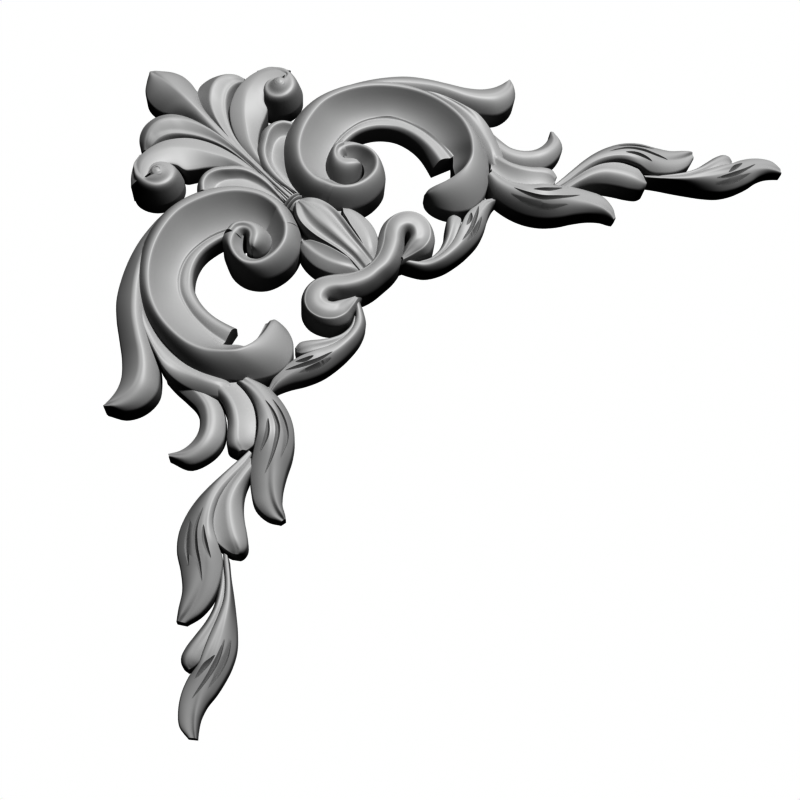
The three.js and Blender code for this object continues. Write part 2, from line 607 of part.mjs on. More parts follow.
const curlLeaf = {
  left: [
    [59, 3, 10.5], [54.6, 3.2, 11.6], [49.7, 2.5, 12.2], [44.8, 0.2, 12.4], [40.4, -3.6, 12.2], [37, -8.2, 11.8],
    [34.9, -13.5, 11.2], [34, -18.6, 10.5], [34.6, -24.4, 9.8], [36.6, -30.5, 9.2], [40.5, -37.4, 8.8], [46, -44.5, 8.5],
    [53.2, -51.6, 8.3], [62.4, -59.3, 8],
  ],
  middle: [
    [57.6, -1.6, 14.6], [53.6, -0.8, 14.2], [49, -1.4, 13.9], [45.1, -3.9, 13.6], [42.4, -7.3, 13.3], [40.6, -11.3, 13],
    [40, -15.8, 12.5], [40.1, -20.8, 11.9], [40.9, -26.2, 11.3], [42.2, -32, 10.7], [44.8, -38.5, 10.3], [49.4, -45.5, 10],
    [55.5, -52.3, 9.9], [62.7, -58.9, 9.8],
  ],
  right: [
    [57, -5, 13], [53, -6, 13], [50.2, -8, 12.6], [48.6, -11, 12], [48.6, -14.6, 11.2], [50, -17.8, 10.2], [49.2, -21.2, 9.4],
    [47.8, -25.4, 8.9], [46.9, -30, 8.6], [46.9, -35.5, 8.4], [48.9, -41, 8.3], [52, -46.8, 8.2], [56.7, -52.7, 8.1], [63, -58.6, 8],
  ],
  swells: [0.2, 0.3],
};

// The leaf's edge rolls in to a bell: its flank falls from the edge to a foot, and its top meets the leaf in a crease
const bell = {
  centre: [55.3, -7.9],
  drawnRadius: 9.3,
  foot: [
    [44.6, 1.4, 9], [49.4, 3, 7], [53.8, 3.5, 5.5], [57.8, 3, 5], [61.4, 1.1, 5], [63.8, -2.7, 5], [64.4, -7.6, 5],
    [62.6, -12.4, 5], [59, -15.9, 5], [54.2, -17.4, 5], [49.2, -16.4, 5], [46.7, -12.8, 5.5], [46.6, -8.8, 8],
    [48, -5.4, 10], [50.6, -3.6, 11], [53.6, -2.8, 11.5], [56.4, -2.6, 12],
  ],
  edge: [
    [45, 0.2, 12.5], [49.6, 2.2, 13], [53, 1.6, 13.8], [55.9, 0.4, 14.6], [58, -1.8, 15], [59.8, -4.6, 15],
    [60.4, -7.8, 14.8], [59.2, -11, 14.6], [56.6, -13.2, 14.4], [53.5, -13.7, 14.2], [50.8, -12.5, 14], [49.3, -10, 13.8],
    [49.3, -7.4, 13.8], [50.6, -5.4, 13.8], [52.8, -4.1, 13.8], [55.2, -3.2, 13.9], [57.2, -1.9, 14.2],
  ],
  top: [
    [47, -3.6, 13.2], [50.4, -4.2, 12.8], [53.2, -4, 12.6], [55.4, -3.2, 12.8], [57.2, -2.6, 14], [57, -5, 15.8],
    [56.6, -6.8, 16.5], [56, -8, 16.8], [55.4, -8.8, 16.9], [54.6, -9, 16.9], [53.9, -8.6, 16.9], [53.5, -8, 16.9],
    [53.5, -7.3, 16.9], [53.9, -6.6, 16.8], [54.5, -6.2, 16.7], [55.2, -5.8, 16.5], [56, -5.2, 16.2],
  ],
  swells: [0.6, 0.3],
};
// Rings of the bell's domed top: centre, share of its radius, height
const bellRings = [
  [54.8, -7.9, 0.34, 6], [54.8, -7.9, 0.34, 15.4], [54.8, -7.8, 0.22, 16.5], [54.8, -7.6, 0.05, 17],
];
const cuppedLeaf = {
  outer: [
    [60.5, -23.2, 8.6], [55.6, -23.1, 9], [51.2, -24.9, 9.2], [48, -28.7, 9.4], [46.9, -33.8, 9.3], [46.3, -38.5, 9.2],
    [46.8, -42.5, 9], [48.5, -46.8, 8.8], [51.8, -51.2, 8.5], [56.4, -55, 8.2], [62.9, -58.8, 8],
  ],
  rim: [
    [60.5, -25.9, 12.3], [56.8, -25.6, 12.8], [53.4, -27.2, 13], [51.2, -30.6, 13], [50.2, -34.8, 12.8], [49.6, -38.8, 12.4],
    [49.9, -42.3, 12], [51.2, -45.8, 11.5], [53.9, -49.9, 11], [57.8, -54, 10.4], [63.2, -58.4, 9.8],
  ],
  cup: [
    [60.5, -31, 9.3], [57.8, -30.8, 9.3], [55.4, -32, 9.2], [53.8, -34.5, 9.2], [53, -37.8, 9.1], [52.9, -41, 9.1],
    [53.5, -44, 9], [55.2, -47.4, 9], [57.7, -50.9, 9], [60.3, -54.2, 9], [63.5, -58.2, 9],
  ],
  wall: [
    [63, -36, 11], [61.5, -35.6, 11], [60.4, -36.3, 11], [59.8, -38, 11], [59.7, -40.5, 11], [60, -43.5, 10.8],
    [60.8, -46.5, 10.6], [61.8, -49.6, 10.4], [62.8, -52.6, 10], [63.7, -55.2, 9.5], [64.2, -57.8, 9],
  ],
};

// Low ground that fills the valleys between the stems, down to the collar
const crownBed = [
  [13, 5, 5.6], [17.2, 9.4, 5.6], [20.5, 9.6, 6], [25, 9, 6.6], [31, 8.4, 7.2], [40, 7.8, 8.2], [50, 7.4, 8.5],
  [60, 6.6, 8.8], [72, 5.2, 9], [80, 4.2, 9], [88, 3.4, 8.8],
];

function crown() {
  const edge = apexLeaf.edge.map(onDiagonal);
  const leafSolid = form({
    rails: [edge, apexLeaf.ridge.map(onDiagonal), edge.map(mirrored)],
    swells: [0.9, 0.9],
    facets: [2, 2],
  }).solid;
  const bedEdge = crownBed.map(onDiagonal);
  const bed = form({ rails: [bedEdge, bedEdge.map(mirrored)], swells: [0.3], facets: [1] }).solid;
  return leafSolid.add(bed);
}

function crownHalf() {
  const dome = ringStack(bellRings.map(([x, y, share, z]) => [x, y, bellRadius * share, z]));
  const rolled = form({
    rails: [stretched(bell.foot, bell.centre, bellRadius / bell.drawnRadius), bell.edge, bell.top],
    swells: bell.swells,
    softness: [0, 2.5, 0],
    length: 7,
  });
  return form({
    rails: [sideLobe.outer, sideLobe.ridge, sideLobe.shoulder, sideLobe.inner],
    swells: sideLobe.swells,
    softness: [0, crestRounding, 2, 0],
    facets: [2, 1, 1],
  }).solid
    .add(form({ rails: [curlLeaf.left, curlLeaf.middle, curlLeaf.right], swells: curlLeaf.swells }).solid)
    .add(form({
      rails: [cuppedLeaf.outer, cuppedLeaf.rim, cuppedLeaf.cup, cuppedLeaf.wall],
      swells: [0.6, -0.4, -0.3],
      facets: [2, 1, 1],
    }).solid)
    .add(rolled.solid)
    .add(dome);
}


// The middle: collar, palmette and the ram's-horn band that holds it

function across(along, halfWidth, middleHeight, endHeight) {
  const stations = 5;
  const points = [];
  for (let k = 0; k < stations; k += 1) {
    const share = 2 * k / (stations - 1) - 1;
    points.push(onDiagonal([along, share * halfWidth, middleHeight - (middleHeight - endHeight) * share * share]));
  }
  return points;
}

function collar() {
  const first = 85.9;
  const bands = [];
  for (let k = 0; k < collarCount; k += 1) {
    const start = first + k * collarWidth;
    bands.push(form({
      rails: [
        across(start, 4.3, 10.4, 8),
        across(start + collarWidth / 2, 4.6, 11.6, 8.8),
        across(start + collarWidth, 4.3, 10.4, 8),
      ],
      swells: [0.1, 0.1],
      softness: [0, 0.4, 0],
      facets: [1, 1],
    }).solid);
  }
  const neck = form({
    rails: [across(86, 3.8, 9.8, 7.8), across(90, 3.4, 10.2, 8), across(94, 3.4, 10.4, 8)],
    swells: [0, 0],
    facets: [1, 1],
  }).solid;
  return bands.reduce((solid, band) => solid.add(band), neck);
}

const palmette = {
  edge: [
    [90, 1.5, 11], [92, 3.7, 11.6], [95.2, 6, 11.8], [99.3, 7.4, 11.9], [104, 7.8, 12], [109, 7.4, 12.2],
    [113.8, 6.4, 12.6], [119.2, 5.3, 12.6], [124.5, 4.6, 11.8], [130.4, 4.4, 9.8],
  ],
  rim: [
    [90.6, 1.1, 12.2], [92.6, 3, 13.6], [95.6, 5.4, 14], [99.5, 6.8, 14.1], [104, 7.2, 14.3], [109, 6.8, 14.4],
    [113.8, 5.8, 14.4], [119.2, 4.7, 14.2], [124.5, 4, 13.3], [130.4, 3.8, 11],
  ],
  dip: [
    [91, 0.7, 12.5], [94, 1.9, 13.6], [97.2, 3.4, 13.8], [100.6, 4.5, 13.8], [104.6, 4.9, 13.6], [109, 4.5, 13.3],
    [113.6, 3.8, 13.1], [118.8, 3, 13], [124.2, 2.5, 12.5], [130.4, 2.3, 10.4],
  ],
  middle: [
    [91, 0, 12.8], [94.5, 0, 14.4], [98, 0, 15.1], [101.4, 0, 15.4], [105, 0, 15.5], [109.2, 0, 15.4],
    [113.8, 0, 15], [119, 0, 14.5], [124.4, 0, 13.8], [130.4, 0, 11.4],
  ],
  swells: [0.2, 0, 0.4],
};

const sidePetal = {
  outer: [
    [82, -65.4, 9.4], [84.8, -65.1, 9.6], [88.9, -67.2, 9.6], [92.6, -70.7, 9.6], [95.1, -74.8, 9.8],
    [96.3, -78.8, 9.8], [96.6, -83, 9.6], [96, -88, 9.4],
  ],
  middle: [
    [82, -65.9, 11], [84.2, -67.7, 11.8], [87, -70.6, 12.1], [89.6, -74.2, 12.3], [91.6, -78, 12.5],
    [92.9, -81.8, 12.5], [93.8, -85.6, 12], [94.4, -89.4, 10.6],
  ],
  inner: [
    [82, -66.4, 11.2], [82.2, -69.2, 12.9], [83.6, -72.4, 13.7], [85.2, -75.8, 14.1], [87.2, -79.2, 14.3],
    [89.1, -82.4, 14.1], [90.9, -85.8, 13.1], [92.4, -89.4, 11],
  ],
  swells: [0.2, -0.2],
};

const band = {
  outer: [
    [94.6, -88, 9.8], [95.8, -82.4, 10], [96.8, -76.6, 10], [98.7, -71.8, 10], [102.4, -68.2, 10], [107, -66.5, 10],
    [112, -66.9, 10], [116.2, -69.6, 9.8], [118.8, -74.4, 9.6], [119.2, -80.2, 9.2], [116.8, -84.6, 8.8], [112.2, -87, 8.2],
    [105, -90.4, 7],
  ],
  edge: [
    [96.5, -88.2, 13], [98.4, -82.6, 13], [99.1, -77, 13], [100.4, -72.9, 13], [103.3, -69.6, 13], [107.1, -68, 13],
    [111, -68, 12.9], [114.4, -69.8, 12.8], [116.9, -74, 12.7], [117, -79.3, 12.6], [114.8, -83.3, 12.3],
    [111.2, -85.8, 11.4], [106.4, -88.3, 10],
  ],
  ridge: [
    [98.8, -92.6, 14.8], [101.2, -87.6, 14.7], [102.9, -82, 14.6], [103.4, -77.4, 14.5], [104.8, -74.1, 14.4],
    [107.4, -72.4, 14.3], [110.3, -72.6, 14.1], [112.3, -74.6, 14], [112.9, -77.8, 13.8], [112, -80.8, 13.6],
    [110.4, -82.8, 12.8], [108.8, -84.8, 11.6], [106, -87.4, 10],
  ],
  inner: [
    [102.6, -94.6, 8], [105.2, -90.4, 8], [106.6, -85.4, 7.6], [107.2, -81.6, 7.6], [107.2, -79, 8.8], [107.3, -77.4, 10],
    [107.9, -76.8, 10.4], [108.6, -77.2, 10.6], [108.9, -78.6, 10.4], [107.6, -80.6, 8.8], [106.6, -82.8, 7.6],
    [106, -85, 7.6], [105, -87.4, 8],
  ],
  swells: [0.3, 0.2, 1.2],
};
const bandMiddle = { outer: [130, 0, 9.6], edge: [131.5, 0, 13], ridge: [135.4, 0, 14.9], inner: [139.6, 0, 8] };

const petalBed = [[93, 3, 8.2], [99, 7.5, 8.4], [105, 12, 8.6], [111, 14.5, 8.8], [119, 14, 9], [127, 12.5, 9]];

function middle() {
  const edge = palmette.edge.map(onDiagonal);
  const rim = palmette.rim.map(onDiagonal);
  const dip = palmette.dip.map(onDiagonal);
  const petal = form({
    rails: [edge, rim, dip, palmette.middle.map(onDiagonal), dip.map(mirrored), rim.map(mirrored), edge.map(mirrored)],
    swells: [...palmette.swells, ...palmette.swells.slice().reverse()],
    softness: [0, 1, 2.2, 3, 2.2, 1, 0],
    facets: [1, 1, 1, 1, 1, 1],
  }).solid;
  const wholeRail = (name) => [
    ...band[name].map(mirrored).reverse(),
    onDiagonal(bandMiddle[name]),
    ...band[name],
  ];
  const horn = form({
    rails: [wholeRail('outer'), wholeRail('edge'), wholeRail('ridge'), wholeRail('inner')],
    swells: band.swells,
    softness: [0, 0.5, 2.4, 0],
    facets: [1, 1, 3],
    length: 9,
  }).solid;
  const bedHalf = petalBed.map(onDiagonal);
  const bed = form({ rails: [bedHalf, bedHalf.map(mirrored)], swells: [0.5], facets: [1] }).solid;
  return petal.add(horn).add(bed).add(collar());
}

function petalHalf() {
  return form({ rails: [sidePetal.outer, sidePetal.middle, sidePetal.inner], swells: sidePetal.swells }).solid;
}


// The whole carving

function rightHalf() {
  return leaves.map(leaf).reduce((solid, one) => solid.add(one), scroll())
    .add(tendrils())
    .add(leaf(sprig))
    .add(crownHalf())
    .add(petalHalf());
}

// Mirrors a solid about the corner's diagonal, by exchanging and negating the plan coordinates
function leftOf(solid) {
  const mesh = solid.getMesh();
  const positions = [];
  for (let i = 0; i < mesh.vertProperties.length; i += 3) {
    positions.push(-mesh.vertProperties[i + 1], -mesh.vertProperties[i], mesh.vertProperties[i + 2]);
  }
  return toManifold(positions, Array.from(mesh.triVerts));
}

// Stands the carving up, with the fixing point at the origin: the drawing's z comes forward as -Y
function stoodUp(solid) {
  const mesh = solid.getMesh();
  const geometry = new THREE.BufferGeometry();
  geometry.setAttribute('position', new THREE.BufferAttribute(Float32Array.from(mesh.vertProperties), 3));
  geometry.setIndex(Array.from(mesh.triVerts));
  geometry.translate(-mountInset * planScale, mountInset * planScale, 0);
  geometry.rotateX(Math.PI / 2);
  return geometry;
}

const half = rightHalf();
const carving = half.add(leftOf(half)).add(crown()).add(middle());

const painted = new THREE.MeshStandardMaterial({ color: 0x8e8e8e, roughness: 0.42, metalness: 0 });
const applique = new THREE.Mesh(stoodUp(carving), painted);
applique.name = 'corner_applique';

const part = new THREE.Group();
part.add(applique);

export default part;
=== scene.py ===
"""The carved wood corner applique as it looks: one smooth skin in place of the faceted solid.

Each form is a surface between curves that run along it. The forms are joined, mirrored, painted, lit and seen
from the photograph's angle.
"""
import math
import bpy
import numpy as np
from mathutils import Matrix


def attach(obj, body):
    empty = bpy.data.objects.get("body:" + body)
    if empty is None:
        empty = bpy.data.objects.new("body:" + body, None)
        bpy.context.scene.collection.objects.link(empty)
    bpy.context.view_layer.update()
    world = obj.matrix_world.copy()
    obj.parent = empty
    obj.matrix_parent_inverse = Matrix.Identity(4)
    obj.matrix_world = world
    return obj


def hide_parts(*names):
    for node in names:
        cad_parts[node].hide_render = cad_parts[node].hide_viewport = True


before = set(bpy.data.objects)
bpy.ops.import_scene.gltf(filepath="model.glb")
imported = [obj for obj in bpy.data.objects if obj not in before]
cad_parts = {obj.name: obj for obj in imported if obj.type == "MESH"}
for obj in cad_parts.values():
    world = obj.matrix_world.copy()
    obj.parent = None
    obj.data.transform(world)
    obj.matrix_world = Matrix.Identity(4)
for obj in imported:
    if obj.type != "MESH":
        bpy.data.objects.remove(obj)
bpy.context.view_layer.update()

# Sizes of the carving in millimetres
mount_inset = 78
crest_rounding = 1.1
arris = 0.6
gouge_width = 1.7
gouge_depth = 1.9
gouge_lift = 0.15
gouge_clearance = 2
trough_floor = 9.5
bead_dip = 0.55
bead_fall = 1.3
bead_end_fall = 2.4
bell_radius = 9.3
collar_width = 1.5
collar_count = 2

# Fineness of the surfaces: chords in millimetres, then counts and an angle in degrees
facet_length = 1.4
eye_facet = 0.6
bell_facet = 0.7
gouge_facet = 0.9
turn_steps = 56
dome_rings = 22
rounding_steps = 4
crease_angle = 38

# A rounding takes up at most this share of a strip, and a swell is full on strips from this width on
widest_rounding = 0.45
full_swell_width = 3
# The power that keeps a gouge deep over most of its length, and the first bead point that swells
gouge_fullness = 0.7
bead_swell_start = 6

# The carving's lines, in millimetres on the drawing that lies on its back with the apex at (0, 0).
# The right arm runs along x and the relief height is the third number.
scroll_rim = {
    "outer": [
        (115.8, -54.8, 4.8), (116.6, -58, 5.6), (120, -61.5, 6.5), (126.4, -63.8, 7.5),
        (133.9, -62.8, 8), (140.1, -56.8, 8.5), (142.9, -47, 8.8), (142.5, -36, 9), (139.2, -27, 9),
        (133.2, -19, 9.3), (125.3, -12, 9.5), (115, -6, 9.8), (104, -2.7, 10), (92, -2.6, 10),
        (79.5, -6, 10), (69, -12.3, 10), (61.8, -21.5, 10), (58, -31, 9.5), (57.2, -40.5, 9.2),
        (59.5, -51, 9), (66, -60, 9), (75.5, -65.2, 9),
    ],
    "crest": [
        (115.9, -54.5, 5.4), (117.4, -55.1, 9.8), (120.4, -55, 12.9), (126.6, -52.3, 15.8),
        (131.6, -48.3, 17.6), (134.6, -43, 18.4), (135.1, -37.5, 18.4), (134.4, -31.5, 18),
        (131.5, -24.5, 17.9), (126.2, -18.2, 17.7), (119.5, -13, 17.4), (111.2, -9.4, 17.2),
        (102, -7.9, 17.3), (92, -8.6, 17.6), (82, -11.9, 17.8), (73.3, -17.8, 18), (67.3, -27, 18.2),
        (64.4, -35, 18.1), (63.7, -42, 17.9), (65.6, -50, 17.7), (70.6, -56, 17.5), (78.2, -59.4, 17.5),
    ],
    "foot": [
        (116, -54.1, 4.6), (117.4, -52.9, 6.8), (119.8, -52.4, 9.2), (125.4, -50.6, 11.3),
        (128.4, -47.6, 9), (127.8, -42.5, 8.8), (127.7, -37, 9), (124, -31.8, 9.4), (119.9, -27.5, 9.5),
        (115.5, -23.8, 9.5), (110.9, -21, 9.4), (106.2, -19, 9.4), (101, -18.2, 9.6),
        (95.2, -18.8, 9.4), (89.5, -21, 9.4), (84.6, -24.7, 9.4), (80.3, -29.6, 9.5), (77.3, -35, 9.5),
        (75.6, -41, 9.5), (75.6, -47, 9.5), (77.6, -51.5, 9.6), (81, -53.4, 9.8),
    ],
}

volute = {
    "outer": [
        (66, -60, 9), (75.5, -65.2, 9), (86, -65.3, 9), (94, -60.8, 9), (99.1, -53, 9.2),
        (98.9, -45.3, 9.5), (95, -39.6, 10.5), (88.7, -36.3, 11.5), (82.5, -34.7, 12),
        (77.2, -37.6, 12),
    ],
    "crest": [
        (70.6, -56, 17.5), (78.2, -59.4, 17.5), (85.5, -59, 17.3), (91.5, -55.2, 16.8),
        (95.2, -49.5, 16.4), (95.3, -44, 16.5), (92.2, -40.3, 16.8), (87.8, -38.4, 16.6),
        (83.6, -38.9, 16.6), (80.7, -40.6, 16.6),
    ],
    "foot": [
        (77.6, -51.5, 9.6), (81, -53.4, 9.8), (84.5, -53.9, 10), (88.4, -51.9, 10), (90.5, -48.7, 10.3),
        (90.3, -45.6, 10.8), (88.8, -43.6, 11.3), (86.5, -42.9, 11.8), (84.3, -42.9, 12.6),
        (82.4, -43.2, 13.6),
    ],
}

eye = {
    "outer": [
        (80.8, -35, 11), (77, -37.6, 11), (75.3, -42, 10.6), (75.2, -47.2, 10), (77.2, -51.9, 9.6),
        (81.2, -54.3, 9.4), (85.4, -53.6, 9.4), (88.6, -50.7, 9.4), (89.9, -47.2, 9.6),
    ],
    "crest": [
        (82.4, -39.4, 16.5), (80.4, -40.9, 16.6), (79.8, -42.8, 16.6), (80.3, -44.6, 16.7),
        (81.7, -45.8, 16.9), (83.6, -46.1, 17), (85.6, -45.8, 16.8), (87.4, -45.9, 16.2),
        (88.9, -46.6, 14.8),
    ],
    "foot": [
        (83.6, -42.6, 13), (82.5, -42.7, 13.6), (81.9, -43.2, 14.2), (82, -43.8, 14.4),
        (82.8, -44.2, 14), (84, -44.3, 13.2), (85.8, -44.3, 12.2), (87.7, -44.6, 11.2),
        (89.6, -46, 10.4),
    ],
    "swells": (3, 0.4),
}

bead_line = [
    (76, -39.5), (77.3, -35), (80.3, -29.6), (84.6, -24.7), (89.5, -21), (95.2, -18.8), (101, -18.2),
    (106.2, -19), (110.9, -21), (115.5, -23.8), (119.9, -27.5), (124, -31.8), (128, -37.4),
]

bead_inner = [
    (79.8, -38.2), (81.5, -34.7), (84.2, -31.1), (87.3, -28), (91, -25.8), (95.7, -24.4),
    (100.5, -24.2), (104.6, -25), (108.4, -26.9), (112.1, -29.8), (115, -33.2), (117.2, -37),
    (119.5, -41.9),
]

hook = {
    "outer": [
        (65.6, -15.5, 8), (70.4, -9.8, 8), (76.2, -5.6, 8), (83.5, -1.6, 8), (91.2, 1.3, 8),
        (99.5, 3.3, 8.2), (109, 4.5, 8.2), (118, 3.7, 8.1), (127, 1.8, 8), (135, 0.2, 7.7),
        (142, -0.2, 7.8), (146.8, 0.8, 8), (149.8, 2.2, 8.2), (152.2, 3.8, 8.3), (154, 5.2, 8.4),
    ],
    "ridge": [
        (68, -17, 10.4), (72.6, -12.6, 11), (78.6, -9.4, 11.8), (86, -6.9, 13), (94, -4.5, 14.2),
        (102, -3.2, 14.6), (110, -2.9, 14.5), (118.5, -3.5, 14.4), (127, -5.4, 14.2),
        (134.5, -7.2, 13.6), (141, -7.6, 13.2), (147, -6.2, 12.7), (151, -3, 11.7), (153.3, 1, 10.4),
        (154.3, 4.8, 8.8),
    ],
    "inner": [
        (71, -19, 8), (76, -15.5, 8), (83, -12.8, 8), (90, -11, 8), (97, -9, 8), (104, -8.5, 8),
        (112, -9, 8), (120, -10, 8), (127.5, -11.7, 8), (134, -13.3, 8), (140.7, -14.4, 8),
        (148.2, -13.9, 8), (154, -9.2, 8), (156.4, -2.6, 8), (154.7, 4.4, 8),
    ],
}

sprout = {
    "outer": [
        (116, -4.6, 9.5), (122, -6.2, 10.3), (128, -9.1, 11.2), (134, -12.6, 11.6), (139.5, -15.9, 11),
        (143.6, -20.3, 9.4), (146.7, -26, 8), (148.7, -31.8, 7.8), (149.6, -37.3, 8.2),
        (147.6, -41.4, 8.4),
    ],
    "ridge": [
        (113, -5.6, 12.8), (119, -6.7, 12.8), (124.5, -9, 12.4), (130, -12, 12), (135.2, -16.4, 11.6),
        (139.2, -21.6, 11.1), (142, -27.5, 11), (143.8, -32, 11.1), (144.9, -36.5, 10.8),
        (145.6, -40.2, 9.6),
    ],
    "inner": [
        (112, -7.5, 9), (117, -9.5, 9), (122.5, -12.5, 9), (127.5, -16, 9), (132.3, -20.5, 9),
        (136.3, -25.5, 9), (139.3, -31, 9), (141, -35.5, 9), (142.3, -39, 8.6), (144, -41.5, 8.2),
    ],
}

small_hook = {
    "outer": [
        (141, -16.4, 4.6), (145, -20, 4.7), (149.2, -24.6, 4.9), (153.5, -28.6, 5.2),
        (158.5, -30.1, 5.4), (163, -29.5, 5.3), (167.2, -27, 5.3), (170, -23.5, 5.3),
        (171.3, -19.4, 5.3),
    ],
    "ridge": [
        (141, -22, 7.6), (145, -25.8, 8), (149, -29.8, 8.3), (153.5, -32.6, 8.5), (159, -33.6, 8.8),
        (164.7, -33, 9.2), (169.4, -30.4, 9), (172.2, -25.8, 8), (172, -19.7, 5.7),
    ],
    "inner": [
        (141, -29, 5.5), (145, -33.4, 5.5), (149.2, -36.8, 5.6), (154.3, -39, 5.7), (160.1, -39.9, 5.8),
        (166.5, -39.2, 5.8), (172, -35.4, 5.8), (176, -27.6, 5.6), (172.8, -19.8, 5.3),
    ],
}

